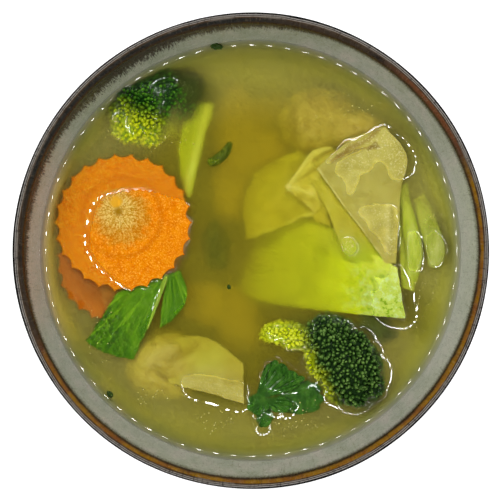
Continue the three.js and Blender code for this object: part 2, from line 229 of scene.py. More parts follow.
def sheet(name, left, right, look, thickness, rows, columns, offset=None, round_ends=(0, 0),
        spots=(), folds=(), rough=(5.0, 0.12), ragged=(2.2, 0.16), most=9.0):
    """A thin closed solid between two edges, each a list of pixels. offset(u, v) gives places to add."""
    left_edge, right_edge = (spline([px(*spot) for spot in line], rows) for line in (left, right))
    v = np.linspace(0, 1, columns)
    grid = left_edge[:, None, :] * (1 - v)[None, :, None] + right_edge[:, None, :] * v[None, :, None]
    uu, vv = np.meshgrid(np.linspace(0, 1, rows), v, indexing="ij")
    start, end = round_ends
    if start or end:
        along = grid[-1:].mean(axis=1, keepdims=True) - grid[:1].mean(axis=1, keepdims=True)
        along /= np.linalg.norm(along)
        bow = np.sin(math.pi * vv)[:, :, None]
        grid = grid + along * bow * (end * uu**3 - start * (1 - uu) ** 3)[:, :, None]
    if offset is not None:
        grid = grid + offset(uu, vv)
    roughen(grid, *ragged, 31.0, axis=0)
    roughen(grid, *ragged, 48.0, axis=1)
    hills(grid, spots, most)
    creases(grid, folds)
    roughen(grid, *rough, 0.0)
    return thicken(name, grid, look, thickness)


def fan(name, base, edge_line, look, pleats, lobes, rough, seed, spots=()):
    """A leaf whose folds spread from its base to a lobed edge, all given in pixels."""
    rows, columns = 44, 66
    base = px(*base)
    edge_curve = spline([px(*spot) for spot in edge_line], columns)
    v = np.linspace(0, 1, columns)
    u = np.linspace(0.06, 1, rows)
    teeth = np.sin(math.pi * lobes[0] * v + 0.4 * np.sin(9 * v + seed))
    scallop = 1 - lobes[1] * (1 - np.abs(teeth) ** 0.6)
    reach = u[:, None] * (1 + (scallop[None, :] - 1) * u[:, None] ** 3)
    grid = base[None, None, :] + (edge_curve - base)[None, :, :] * reach[:, :, None]
    wave = np.sin(2 * math.pi * pleats[0] * v + 0.7 * np.sin(5 * v + seed))
    wave = np.sign(wave) * np.abs(wave) ** 0.7
    grid[:, :, 2] += pleats[1] * wave[None, :] * np.minimum(u, 1 - 0.4 * u)[:, None] * 1.6
    hills(grid, spots)
    roughen(grid, *rough, seed)
    return thicken(name, grid, look, 0.7)


def ball_mesh(level):
    """Unit directions and triangles of a subdivided icosahedron."""
    made = bmesh.new()
    bmesh.ops.create_icosphere(made, subdivisions=level, radius=1.0)
    places = np.array([v.co[:] for v in made.verts])
    faces = np.array([[v.index for v in f.verts] for f in made.faces])
    made.free()
    return unit(places), faces


def blob(name, centre, half, look, level, share, turn=0.0):
    """An ellipsoid with a relief, share(directions)."""
    directions, faces = ball_mesh(level)
    reach = directions * np.asarray(half) * share(directions)[:, None]
    return mesh_object(name, reach @ turned_by(turn) + np.asarray(centre), faces, look)


def swelling(end, more):
    """A half width that grows from the ends of a tube to its middle."""
    return lambda u: end + more * math.sin(math.pi * u) ** 0.6


def tube(name, path, width, height, look, ribs=(0, 0.0)):
    """An elliptic tube with closed round ends. width and height are functions of u."""
    steps = 60
    middle = spline(path, steps)
    tangent = unit(np.gradient(middle, axis=0))
    side = unit(np.cross(tangent, [0, 0, 1.0]))
    rise = np.cross(side, tangent)
    u = np.linspace(0, 1, steps)
    cap = np.sqrt(np.clip(1 - np.clip(1 - np.minimum(u, 1 - u) / 0.08, 0, 1) ** 2, 0.0, 1))
    angles = around(20)
    ribbed = 1 + ribs[1] * np.cos(ribs[0] * angles)
    w = (np.vectorize(width)(u) * cap)[:, None] * (np.cos(angles) * ribbed)[None, :]
    h = (np.vectorize(height)(u) * cap)[:, None] * (np.sin(angles) * ribbed)[None, :]
    places = middle[:, None] + side[:, None] * w[:, :, None] + rise[:, None] * h[:, :, None]
    return mesh_object(name, *capped(places[1:-1], [middle[0], middle[-1]], turned=True), look)


# Looks


class Field:
    """A value in a material's nodes. Signs between fields and numbers add Math nodes."""

    def __init__(self, look, socket):
        self.look, self.socket = look, socket

    def __add__(self, other):
        return self.look.math("ADD", self, other)

    def __sub__(self, other):
        return self.look.math("SUBTRACT", self, other)

    def __mul__(self, other):
        return self.look.math("MULTIPLY", self, other)

    def __truediv__(self, other):
        return self.look.math("DIVIDE", self, other)

    def __abs__(self):
        return self.look.math("ABSOLUTE", self)


class Look:
    """Builds a material's nodes. Coordinates are the object's own, in metres."""

    def __init__(self, name, roughness=0.5, coat=0.0, ior=1.45, specular=0.5, gloss=0.06, glow=None):
        self.material = bpy.data.materials.new(name)
        self.material.use_nodes = True
        self.tree = self.material.node_tree
        self.shader = self.tree.nodes["Principled BSDF"]
        self.set("Roughness", roughness)
        self.set("IOR", ior)
        self.set("Specular IOR Level", specular)
        if coat:
            self.set("Coat Weight", coat)
            self.set("Coat Roughness", gloss)
            self.set("Coat IOR", WATER_IOR)
        if glow:
            self.set("Subsurface Weight", glow[0])
            self.set("Subsurface Radius", glow[1])
        self.coordinates = self.add("ShaderNodeTexCoord").outputs["Object"]

    def set(self, socket, value):
        self.shader.inputs[socket].default_value = value

    def add(self, kind, **settings):
        node = self.tree.nodes.new(kind)
        for key, value in settings.items():
            setattr(node, key, value)
        return node

    def feed(self, socket, value):
        """Links a field or an output to a socket, or sets it to a number or a colour."""
        value = getattr(value, "socket", value)
        if isinstance(value, bpy.types.NodeSocket):
            self.tree.links.new(value, socket)
        else:
            socket.default_value = linear(value)

    def mapped(self, scale, turn):
        node = self.add("ShaderNodeMapping")
        self.feed(node.inputs["Vector"], self.coordinates)
        node.inputs["Rotation"].default_value = (0, 0, turn)
        node.inputs["Scale"].default_value = scale
        return node.outputs["Vector"]

    def noise(self, size, detail=3.0, rough=0.55, distortion=0.0, vector=None):
        """Noise with features of a size in millimetres."""
        node = self.add("ShaderNodeTexNoise")
        self.feed(node.inputs["Vector"], vector or self.coordinates)
        node.inputs["Scale"].default_value = 1000.0 / size
        node.inputs["Detail"].default_value = detail
        node.inputs["Roughness"].default_value = rough
        node.inputs["Distortion"].default_value = distortion
        return Field(self, node.outputs["Fac"])

    def math(self, operation, a, b=0.0, clamp=False):
        node = self.add("ShaderNodeMath", operation=operation, use_clamp=clamp)
        self.feed(node.inputs[0], a)
        self.feed(node.inputs[1], b)
        return Field(self, node.outputs[0])

    def span(self, value, low, high, to_low=0.0, to_high=1.0, smooth=True):
        node = self.add("ShaderNodeMapRange", interpolation_type="SMOOTHSTEP" if smooth else "LINEAR")
        self.feed(node.inputs["Value"], value)
        for key, v in (("From Min", low), ("From Max", high), ("To Min", to_low), ("To Max", to_high)):
            node.inputs[key].default_value = v
        return Field(self, node.outputs["Result"])

    def ramp(self, value, stops):
        node = self.add("ShaderNodeValToRGB")
        self.feed(node.inputs["Fac"], value)
        elements = node.color_ramp.elements
        while len(elements) < len(stops):
            elements.new(0.5)
        for element, (position, colour) in zip(elements, stops):
            element.position = position
            element.color = linear(colour)
        return node.outputs["Color"]

    def mix(self, amount, a, b, blend="MIX"):
        node = self.add("ShaderNodeMix", data_type="RGBA", blend_type=blend)
        self.feed(node.inputs["Factor"], amount)
        self.feed(node.inputs[6], a)
        self.feed(node.inputs[7], b)
        return node.outputs[2]

    def lay(self, under, tone, value, low, high, share=1.0):
        """Lays a tone over a colour, by none where the value is low and by the share where it is high."""
        return self.mix(self.span(value, low, high, 0.0, share), under, tone)

    def axis(self):
        node = self.add("ShaderNodeSeparateXYZ")
        self.feed(node.inputs[0], self.coordinates)
        return [Field(self, output) for output in node.outputs]

    def radius(self, centre=(0.0, 0.0)):
        """Distance from a vertical line, in millimetres."""
        x, y, _ = self.axis()
        dx = x - centre[0] * MM
        dy = y - centre[1] * MM
        square = dx * dx + dy * dy
        return self.math("SQRT", square) * 1000.0

    def height(self):
        """Height above the broth, in millimetres."""
        return self.axis()[2] * 1000.0 - LEVEL

    def across(self, a, b):
        """Signed distance from the vertical plane through two pixels, in millimetres."""
        a, b = px(*a), px(*b)
        way = (np.asarray(b)[:2] - np.asarray(a)[:2]).astype(float)
        way /= np.linalg.norm(way)
        x, y, _ = self.axis()
        left = (x - float(a[0]) * MM) * (float(way[1]) * 1000.0)
        right = (y - float(a[1]) * MM) * (float(way[0]) * 1000.0)
        return left - right

    def stroke(self, *line):
        """Distance from a line drawn through pixels, in millimetres, seen from above."""
        places = [px(*spot) for spot in line]
        x, y, _ = self.axis()
        nearest = None
        for a, b in zip(places[:-1], places[1:]):
            ax, ay = float(a[0]) * MM, float(a[1]) * MM
            wx, wy = float(b[0] - a[0]) * MM, float(b[1] - a[1]) * MM
            dx, dy = x - ax, y - ay
            dot = dx * wx + dy * wy
            t = self.math("DIVIDE", dot, wx * wx + wy * wy, clamp=True)
            ex = dx - t * wx
            ey = dy - t * wy
            square = ex * ex + ey * ey
            far = self.math("SQRT", square) * 1000.0
            nearest = far if nearest is None else self.math("MINIMUM", nearest, far)
        return nearest

    def rays(self, centre, size, stretch=0.05, detail=3, rough=0.6):
        """Noise in rays from a vertical line. size is how wide a ray is at 10 mm from the line."""
        x, y, _ = self.axis()
        far = self.math("MAXIMUM", self.radius(centre), 0.1)
        joined = self.add("ShaderNodeCombineXYZ")
        for n, (axis, middle) in enumerate(((x, centre[0]), (y, centre[1]))):
            away = (axis - float(middle) * MM) * 10.0
            self.feed(joined.inputs[n], away / far)
        self.feed(joined.inputs[2], far * (stretch * MM))
        return self.noise(size, detail, rough, vector=joined.outputs[0])

    def colour(self, value, under=None, gain=1.22):
        """The base colour. What lies just lower than under is painted lighter, painted light that makes up
        for the light the broth over it takes.
        """
        if under is not None:
            brighter = self.mix(1.0, value, (gain, gain, gain * 0.94, 1.0), "MULTIPLY")
            painted_light_below = self.span(self.height(), under + 0.12, under - 0.12)
            near = self.span(self.height(), under - 4.5, under - 1.5)
            value = self.mix(painted_light_below * near, value, brighter)
        self.feed(self.shader.inputs["Base Color"], value)

    def rough(self, value):
        self.feed(self.shader.inputs["Roughness"], value)

    def bump(self, height, distance, strength=1.0):
        node = self.add("ShaderNodeBump")
        node.inputs["Strength"].default_value = strength
        node.inputs["Distance"].default_value = distance * MM
        self.feed(node.inputs["Height"], height)
        self.feed(self.shader.inputs["Normal"], node.outputs["Normal"])


def around_rim(look, radial, size, detail, rough):
    """Noise that follows the rim: its features are as long as they are wide where radial is 1."""
    x, y, _ = look.axis()
    across = look.radius() * MM
    joined = look.add("ShaderNodeCombineXYZ")
    for n, axis in enumerate((x, y)):
        look.feed(joined.inputs[n], axis / across * 0.078)
    look.feed(joined.inputs[2], across * radial)
    return look.noise(size, detail, rough, vector=joined.outputs[0])


def glaze():
    """Stoneware: grey-sage inside with fine specks, and bristles where the lip's rust runs into it."""
    look = Look("bowl_glaze", roughness=0.3, coat=0.3, specular=0.3, gloss=0.12)
    x, y, _ = look.axis()
    radius = look.radius()
    across = radius * MM
    cosine, sine = x / across, y / across

    def towards(degrees, low, high):
        """1 on the side of the rim at an angle, 0 away from it."""
        a = cosine * math.cos(math.radians(degrees))
        b = sine * math.sin(math.radians(degrees))
        return look.span(a + b, low, high)

    bristle = around_rim(look, 0.6, 0.5, 4, 0.8)
    streak = around_rim(look, 0.3, 0.8, 4, 0.7)
    rings = around_rim(look, 1.0, 5.0, 3, 0.6)
    specks = look.noise(0.6, 3, 0.75)
    mottle = look.noise(7, 4, 0.6)
    patches = look.noise(11, 3, 0.6)
    inner = look.ramp(mottle, [(0.3, (150, 155, 134)), (0.5, (166, 168, 150)), (0.7, (180, 174, 160))])
    inner = look.mix(towards(175, 0.86, 0.99) * 0.55, inner, (186, 160, 136))
    inner = look.mix(towards(112, 0.55, 0.98) * 0.38, inner, (136, 142, 108))
    inner = look.mix(towards(-4, 0.7, 0.98) * 0.5, inner, (196, 198, 180))
    # Painted light: the glaze under the broth on the west side is painted paler, lifting the shade the
    # carrot casts there
    painted_light_below = look.span(look.height(), 0.6, -1.0) * towards(182, 0.86, 0.98)
    inner = look.mix(painted_light_below, inner, (224, 206, 186))
    inner = look.lay(inner, (198, 192, 172), specks, 0.57, 0.74, 0.8)
    inner = look.lay(inner, (118, 116, 92), specks, 0.44, 0.3, 0.8)
    inner = look.lay(inner, (118, 118, 96), streak, 0.42, 0.3, 0.5)
    ochre = look.ramp(patches,
        [(0.34, (100, 56, 20)), (0.45, (114, 72, 12)), (0.56, (126, 90, 6)), (0.68, (94, 58, 14))])
    dull = look.ramp(patches, [(0.35, (34, 27, 20)), (0.5, (54, 41, 28)), (0.68, (42, 35, 26))])
    dull = look.mix(towards(38, 0.95, 1.0) * 0.7, dull, (108, 60, 26))
    band = look.mix(towards(293, -0.06, 0.12), dull, ochre)
    band = look.mix(towards(127, 0.62, 0.85), band, (30, 29, 25))
    band = look.lay(band, (44, 32, 18), streak, 0.46, 0.28, 0.6)
    band = look.lay(band, (130, 112, 84), streak, 0.56, 0.72, 0.4)
    uneven = (rings - 0.5) * 0.9
    placed = radius + uneven
    # The dark edge of the band, and its bristles, which grow towards the upper left
    band = look.lay(band, (50, 34, 20), placed, 76.75, 76.2)
    reach = towards(132, 0.35, 0.95) * 1.2 + 0.45
    reach = towards(126, 0.92, 1.0) * 1.0 + reach
    fall = look.span(bristle, 0.25, 0.75, 0.25, 1.25) * reach
    covered = radius + fall
    inner = look.lay(inner, (66, 59, 48), covered, 75.7, 76.6)
    inner = look.lay(inner, band, radius, 75.8, 76.15)
    look.colour(inner)
    look.rough(look.span(look.noise(2.5, 3, 0.6), 0.35, 0.7, 0.2, 0.42))
    fine = specks * 0.3 + streak * 0.4
    look.bump(fine + mottle, 0.16, 0.5)
    return look.material


def bare_stoneware():
    """The lip with its rings, two of them pale painted reflections, and the outside: dull, almost black,
    with clay where it stands.
    """
    look = Look("bowl_outside", roughness=0.6, specular=0.0)
    radius = look.radius()
    height = look.axis()[2] * 1000.0
    specks = look.noise(0.6, 3, 0.75)
    streak = around_rim(look, 0.3, 0.8, 4, 0.7)
    grey_patches = around_rim(look, 0.2, 9.0, 3, 0.6)
    uneven = (around_rim(look, 1.0, 6.0, 3, 0.6) - 0.5) * 0.5
    placed = radius + uneven
    dark = look.ramp(look.noise(9, 4, 0.6),
        [(0.3, (22, 19, 17)), (0.55, (34, 30, 25)), (0.75, (56, 46, 34))])
    dark = look.lay(dark, (78, 64, 46), specks, 0.6, 0.75, 0.6)
    clay = look.ramp(look.noise(1.2, 4, 0.7), [(0.3, (104, 88, 70)), (0.7, (140, 122, 100))])
    dark = look.lay(dark, clay, height, 0.9, 0.4)
    # The lip's own browns and black outer edge, with two pale rings that are painted reflections
    lip = look.ramp(look.span(placed, 77.8, 79.4, smooth=False), [(0.0, (64, 50, 36)), (0.14, (78, 66, 54)),
        (0.24, (158, 150, 140)), (0.36, (52, 45, 40)), (0.48, (44, 39, 36)), (0.62, (172, 168, 162)),
        (0.74, (86, 80, 76)), (0.86, (14, 12, 12))])
    # Paler grey in patches along the rim
    lip = look.lay(lip, (112, 106, 98), grey_patches, 0.5, 0.66, 0.55)
    lip = look.lay(lip, (34, 29, 26), streak, 0.5, 0.32, 0.75)
    lip = look.lay(lip, (8, 7, 7), placed, 79.0, 79.2)
    above = look.span(height, 59.0, 61.0)
    look.colour(look.mix(above * look.span(radius, 76.0, 77.0), dark, lip))
    look.bump(specks + look.noise(5, 3, 0.6), 0.2, 0.5)
    return look.material


def bezier(points, count):
    t = np.linspace(0, 1, count)[:, None]
    a, b, c, d = (np.array(p, dtype=float) for p in points)
    return a * (1 - t) ** 3 + 3 * b * (1 - t) ** 2 * t + 3 * c * (1 - t) * t**2 + d * t**3


INNER = bezier([(0, FLOOR), (50, FLOOR), (68, 37), (RIM - LIP, WALL_TOP)], 60)
OUTER = bezier([(RIM, WALL_TOP), (76, 40), (58, 20), (FOOT + 1.5, FOOT_HEIGHT + 2.5)], 40)


def wall_radius(height):
    return np.interp(height, INNER[:, 1], INNER[:, 0])


BOWL_SIDES = 320


def make_bowl():
    """A turned bowl, a little uneven, glazed inside and bare from the top of its lip outwards."""
    inner_foot = FOOT - FOOT_WIDTH
    foot = [(0, FOOT_RECESS), (inner_foot - 2.2, FOOT_RECESS), (inner_foot - 0.9, FOOT_RECESS - 0.3),
        (inner_foot - 0.1, FOOT_RECESS - 1.2), (inner_foot, 0.8), (inner_foot + 0.2, 0.3),
        (inner_foot + 0.7, 0.0), (FOOT - 0.8, 0.0), (FOOT - 0.2, 0.25), (FOOT, 0.8),
        (FOOT + 0.1, FOOT_HEIGHT - 0.8), (FOOT + 0.5, FOOT_HEIGHT + 0.8)]
    lip = []
    for i in range(1, 24):
        a = math.pi * i / 24
        lip.append((RIM - LIP / 2 + LIP / 2 * math.cos(a), WALL_TOP + LIP_DROP * math.sin(a)))
    profile = foot + [tuple(p) for p in OUTER[::-1]] + lip + [tuple(p) for p in INNER[::-1]]
    angles = around(BOWL_SIDES)
    rings = []
    for radius, height in profile[1:-1]:
        waver = 1 - 0.0012 * (1 + np.sin(3 * angles + 0.02 * height))
        waver = waver - 0.0006 * (1 + np.sin(7 * angles + 1))
        x, y = radius * waver * np.cos(angles), radius * waver * np.sin(angles)
        rings.append(np.stack([x, y, np.full(BOWL_SIDES, height)], 1))
    ends = [[0, 0, profile[0][1]], [0, 0, profile[-1][1]]]
    body = mesh_object("bowl_body", *capped(rings, ends, turned=True), glaze())
    body.data.materials.append(bare_stoneware())
    rows = len(foot) + len(OUTER) - 1 + sum(1 for radius, _ in lip[:12] if radius > 77.9)
    for polygon in body.data.polygons:
        if polygon.index < rows * BOWL_SIDES or polygon.center.z < 0.005:
            polygon.material_index = 1
    return body


DRY = []


def piece(obj, slot, *nodes, dry=None):
    """Attaches a piece to the root and hides the solids it stands for. dry is how high above the broth it
    must stand to be dry, or a rule for that.
    """
    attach(obj, "root")
    if nodes:
        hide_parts(*nodes)
    if dry is not None:
        DRY.append((obj, dry))


piece(make_bowl(), "bowl", "bowl")


# Carrot


def carrot_look(name, core, deep=False):
    look = Look(name, coat=0.12, specular=0.06, gloss=0.12, glow=(0.2, (0.004, 0.0015, 0.0003)))
    radius = look.radius(core)
    fuzz = (look.noise(3.0, 4, 0.65) - 0.5) * 8.0
    reach = radius + fuzz
    grain = look.noise(0.62, 3, 0.75)
    flesh = look.ramp(look.noise(2.6, 4, 0.6),
        [(0.25, (220, 116, 0)), (0.5, (232, 133, 0)), (0.75, (238, 147, 4))])
    flesh = look.lay(flesh, (255, 184, 62), grain, 0.51, 0.66, 0.85)
    flesh = look.lay(flesh, (206, 92, 0), grain, 0.44, 0.32, 0.7)
    dimple = (core[0] - 1.2, core[1] + 1.9)
    fibres = look.rays(dimple, 1.0, 0.35, 4, 0.7)
    mixed = grain * 0.55 + fibres * 0.45
    heart = look.ramp(mixed, [(0.38, (190, 100, 2)), (0.48, (204, 130, 14)), (0.6, (228, 176, 74))])
    straw = look.ramp(mixed, [(0.38, (176, 118, 16)), (0.47, (198, 148, 36)), (0.57, (232, 202, 116))])
    inner = look.radius(dimple) + fuzz * 0.5
    heart = look.lay(heart, straw, inner, 9.5, 3.5)
    patch = look.radius((core[0] - 2.0, core[1] + 5.2))
    heart = look.lay(heart, (226, 168, 40), patch, 2.7, 1.4)
    heart = look.lay(heart, (160, 116, 14), look.radius(dimple), 2.4, 0.3)
    colour = look.lay(flesh, heart, reach, 12.0, 7.4)
    ring = abs(radius + fuzz * 0.2 - 13.6)
    colour = look.lay(colour, (196, 96, 0), ring, 1.6, 0.2, 0.35)
    if deep:
        # Painted shade: the low slice is painted a darker orange all over, and darker still along the edge
        # where the top slice shades it
        colour = look.mix(0.75, colour, (194, 98, 0))
        shade = look.span(look.stroke((80, 262), (94, 282), (116, 298)), 8.0, 1.0, 0.0, 0.6)
        colour = look.mix(shade, colour, (124, 58, 0))
    look.colour(colour, None if deep else 0.1, 1.16)
    look.bump(grain + look.noise(2.2, 3, 0.6), 0.34, 0.75)
    return look.material


def from_line(x, y, line):
    """Signed distance of places from a line, in millimetres, more than 0 on the right of its way."""
    best, side = np.full(np.shape(x), 1e9), np.ones(np.shape(x))
    for a, b in zip(line[:-1], line[1:]):
        way = b[:2] - a[:2]
        dx, dy = x - a[0], y - a[1]
        t = np.clip((dx * way[0] + dy * way[1]) / (way @ way), 0, 1)
        d = np.hypot(dx - t * way[0], dy - t * way[1])
        side = np.where(d < best, np.sign(dx * way[1] - dy * way[0]), side)
        best = np.minimum(d, best)
    return best * side


def carrot(name, centre, radius, thickness, teeth, groove, swell, tilt, high, look, dimple=None, lift=None):
    """A crinkle-cut slice: grooves round its edge meet in points. tilt raises the side towards high."""
    angles = around(teeth * 12)
    uneven = 0.25 * np.sin(3 * angles + 1) * np.sin(teeth * angles / 2)
    edge = radius - groove * (1 + uneven) * np.abs(np.sin(teeth * angles / 2)) ** 0.75
    edge = edge - 0.2 * (1 + np.sin(5 * angles)) * 0.5
    slope = np.array([math.cos(high), math.sin(high)]) * tilt
    places = []

    def ring(share, drop, bottom):
        reach = (radius + (edge - radius) * share**6) * share
        x, y = reach * np.cos(angles), reach * np.sin(angles)
        z = x * slope[0] + y * slope[1] + (-thickness if bottom else swell * (1 - share**2)) - drop
        p = np.stack([x, y, z], 1)
        if lift is not None and not bottom:
            p[:, 2] = lift(x + centre[0], y + centre[1]) - centre[2] - drop
        if not bottom and drop == 0:
            calm = 1.0
            if lift is not None:
                calm = np.clip(np.abs(from_shore(x + centre[0], y + centre[1])) / 4.0, 0.1, 1)
            p[:, 2] += (ripple(p, 4.0, 0.13, 3.1) - 0.12 * np.exp(-(((share - 0.44) / 0.03) ** 2))) * calm
            if dimple is not None:
                d = np.hypot(x - dimple[0], (y - dimple[1]) / 2.2)
                p[:, 2] -= 0.5 * np.exp(-((d / 0.9) ** 2))
        places.append(p)

    for share in np.linspace(0.02, 0.97, 40):
        ring(share, 0.0, False)
    ring(0.99, 0.1, False)
    for f in (0.1, 0.35, 0.65, 0.92):
        ring(1.0, thickness * f, False)
    ring(0.985, 0.0, True)
    ring(0.5, 0.0, True)
    solid, faces = capped(places, [[0, 0, places[0][0][2]], [0, 0, -thickness]])
    return mesh_object(name, solid + np.asarray(centre), faces, look)


core_spot = px(122, 217, 0)
# Where the broth ends on the slice
shore = [px(*spot) for spot in (
    (140, 310), (132, 289), (126, 285.5), (116, 279), (106.5, 270.5), (98, 260), (94.3, 254), (91.8, 249),
    (91, 243), (91, 236), (92, 228), (94.5, 218), (97, 210.5), (100.5, 203), (107, 198), (118, 194),
    (134, 190.5), (149, 191.5), (168, 197), (190, 203), (214, 212))]


def from_shore(x, y):
    """Distance from where the broth ends, which is a little uneven, more so over the core."""
    uneven = np.sin(2.1 * x + 0.6 * y) * np.cos(1.7 * y - 0.5 * x + 1.0)
    uneven = uneven + 0.5 * np.sin(4.3 * x + 1.0) * np.cos(3.9 * y)
    return from_line(x, y, shore) + uneven * np.where(y > 17.0, 0.42, 0.16)


def carrot_lift(x, y):
    """The slice stands a little out of the broth inside the shore, and slopes to just under it outside."""
    inside = from_shore(x, y)
    outside = np.maximum(-inside, 0)
    dry_part = 0.58 * (1 - np.exp(-np.maximum(inside, 0) / 9))
    return LEVEL + 0.37 + dry_part - 0.5 * (1 - np.exp(-outside / 0.6)) - 0.04 * outside


def carrot_dry(x, y):
    return np.where(from_shore(x, y) > 0, -5.0, 9.0)


piece(carrot("carrot_top_slice", at(-43.8, 9.3, -0.6), 24.0, 4.1, 26, 1.5, 1.4, 0.035, -0.85,
    carrot_look("carrot_flesh", core_spot[:2]), dimple=(-1.3, 6.6), lift=carrot_lift),
    "carrot", "carrot_slice", dry=carrot_dry)
low_spot = px(118, 263, -4.2)
piece(carrot("carrot_low_slice", low_spot, 21.2, 3.8, 25, 1.4, 0.5, 0.15, math.radians(215),
    carrot_look("carrot_low_flesh", low_spot[:2], deep=True)), "carrot")


# Broccoli: a crown of round heads covered with real buds

GOLDEN = math.pi * (3 - math.sqrt(5))


def head_middles(heads, share):
    middles = []
    for i in range(heads):
        rise = 1 - 1.5 * (i + 0.5) / heads
        out = math.sqrt(1 - rise * rise)
        d = np.array([out * math.cos(i * GOLDEN), out * math.sin(i * GOLDEN), rise])
        middles.append(d * (1 - share * (1.1 + 0.1 * math.sin(2.4 * i))))
    return np.array(middles)


def crown_share(middles, head):
    def share(directions):
        near = directions @ middles.T
        inside = head**2 - (middles**2).sum(1)[None, :] + near**2
        reach = np.where(inside > 0, near + np.sqrt(np.maximum(inside, 0)), 0)
        return np.maximum(reach.max(axis=1), 1 - 1.35 * head)

    return share


def buds(centre, half, turn, heads, head, count, size, seed):
    """Buds over a crown: places, faces and a tone for each vertex."""
    low = -0.45
    rng = np.random.default_rng(seed)
    share = crown_share(head_middles(heads, head), head)
    i = np.arange(count)
    rise = 1 - (1 - low) * (i + 0.5) / count
    out = np.sqrt(1 - rise**2)
    spin = i * GOLDEN + rng.normal(0, 0.05, count)
    d = np.stack([out * np.cos(spin), out * np.sin(spin), rise], 1)
    d = unit(d + rng.normal(0, 0.022, d.shape))
    step = 0.02
    ref = np.where(np.abs(d[:, 2:3]) < 0.9, [[0, 0, 1.0]], [[1.0, 0, 0]])
    t1 = unit(np.cross(d, ref))
    t2 = np.cross(d, t1)

    def on(v):
        v = unit(v)
        return v * share(v)[:, None] * np.asarray(half)

    spot = on(d)
    normal = np.cross(on(d + t1 * step) - spot, on(d + t2 * step) - spot)
    normal /= np.linalg.norm(normal, axis=1, keepdims=True) + 1e-9
    normal *= np.sign((normal * d).sum(1))[:, None]
    ball, faces = ball_mesh(2)
    a = unit(np.cross(normal, rng.normal(0, 1, (count, 3))))
    b = np.cross(normal, a)
    scale = size * rng.uniform(0.7, 1.25, count)
    slim = rng.uniform(0.62, 0.95, count)
    made, tones = [], []
    across, along, out = ball[:, 0:1], ball[:, 1:2], ball[:, 2:3]
    taper = 1 - 0.45 * np.clip(out, 0, 1)
    whole = spot @ turned_by(turn) + np.asarray(centre)
    kept = np.hypot(whole[:, 0], whole[:, 1]) < wall_radius(whole[:, 2]) - 0.4
    for n in np.flatnonzero(kept):
        r = scale[n]
        local = (across * a[n] * slim[n] + along * b[n]) * r * taper + out * normal[n] * r * 1.3
        made.append((spot[n] + normal[n] * r * 0.3 + local, faces))
        # Each bud's tone rises from base to tip: painted shade at its base, painted highlight at its tip
        tones.append(np.clip(ball[:, 2] * 0.5 + 0.5, 0, 1) * 0.75 + rng.uniform(0, 0.25))
    places, faces = joined(made)
    return places @ turned_by(turn) + np.asarray(centre), faces, np.concatenate(tones)


def broccoli_look(name, fresh_tones, ripe_tones, ripe_towards, ripe_from, ripe_to):
    """Dark green with lighter bud tips, painted highlight, and darker bud bases and cores, painted shade.
    Towards one side it pales to yellow-green.
    """
    look = Look(name, coat=0.22, specular=0.15, gloss=0.1)
    tone = look.add("ShaderNodeAttribute", attribute_name="tone").outputs["Fac"]
    fresh = look.ramp(tone, list(zip((0.35, 0.68, 0.95), fresh_tones)))
    ripe = look.ramp(tone, list(zip((0.3, 0.6, 0.95), ripe_tones)))
    x, y, _ = look.axis()
    across = x * (1000.0 * ripe_towards[0])
    along = across + y * (1000.0 * ripe_towards[1])
    along = along + (look.noise(5, 3, 0.6) - 0.5) * 10.0
    look.colour(look.lay(fresh, ripe, along, ripe_from, ripe_to), 0.3)
    look.bump(look.noise(0.5, 2, 0.6), 0.08, 0.6)
    return look.material


def floret(name, look, crowns, stems):
    """One mesh of all crowns' buds, their cores and the stems."""
    parts, tones = [], []
    for crown in crowns:
        places, faces, bud_tones = buds(**crown)
        directions, core_faces = ball_mesh(4)
        share = crown_share(head_middles(crown["heads"], crown["head"]), crown["head"])
        reach = directions * np.asarray(crown["half"]) * (share(directions) - 0.01)[:, None]
        core = reach @ turned_by(crown["turn"]) + np.asarray(crown["centre"])
        parts += [(places, faces), (core, core_faces)]
        # The core between the buds takes a low tone: painted shade in the gaps
        tones += [bud_tones, np.full(len(core), 0.3)]
    for start, end, r0, r1 in stems:
        start, end = np.asarray(start, float), np.asarray(end, float)
        path = spline([start, (start + end) / 2 + np.array([0.6, 0, 0.3]), end], 14)
        way = unit(end - start)
        a = unit(np.cross(way, [0, 1.0, 0]))
        b = np.cross(way, a)
        angles = around(18)
        rings = []
        for n, p in enumerate(path):
            r = (r0 + (r1 - r0) * n / 13) * (1 + 0.06 * np.cos(5 * angles + n * 0.1))
            rings.append(p + np.outer(np.cos(angles) * r, a) + np.outer(np.sin(angles) * r, b))
        stem, stem_faces = capped(rings, [path[0], path[-1]])
        parts.append((stem, stem_faces))
        tones.append(np.full(len(stem), 0.75))
    solid, faces = joined(parts)
    within = (wall_radius(solid[:, 2]) - 0.15) / np.hypot(solid[:, 0], solid[:, 1])
    solid[:, :2] *= np.minimum(within, 1)[:, None]
    obj = mesh_object(name, solid, faces, look)
    attribute = obj.data.attributes.new("tone", "FLOAT", "POINT")
    attribute.data.foreach_set("value", np.concatenate(tones).astype(np.float32))
    return obj


def crown(*values):
    return dict(zip(("centre", "half", "turn", "heads", "head", "count", "size", "seed"), values))


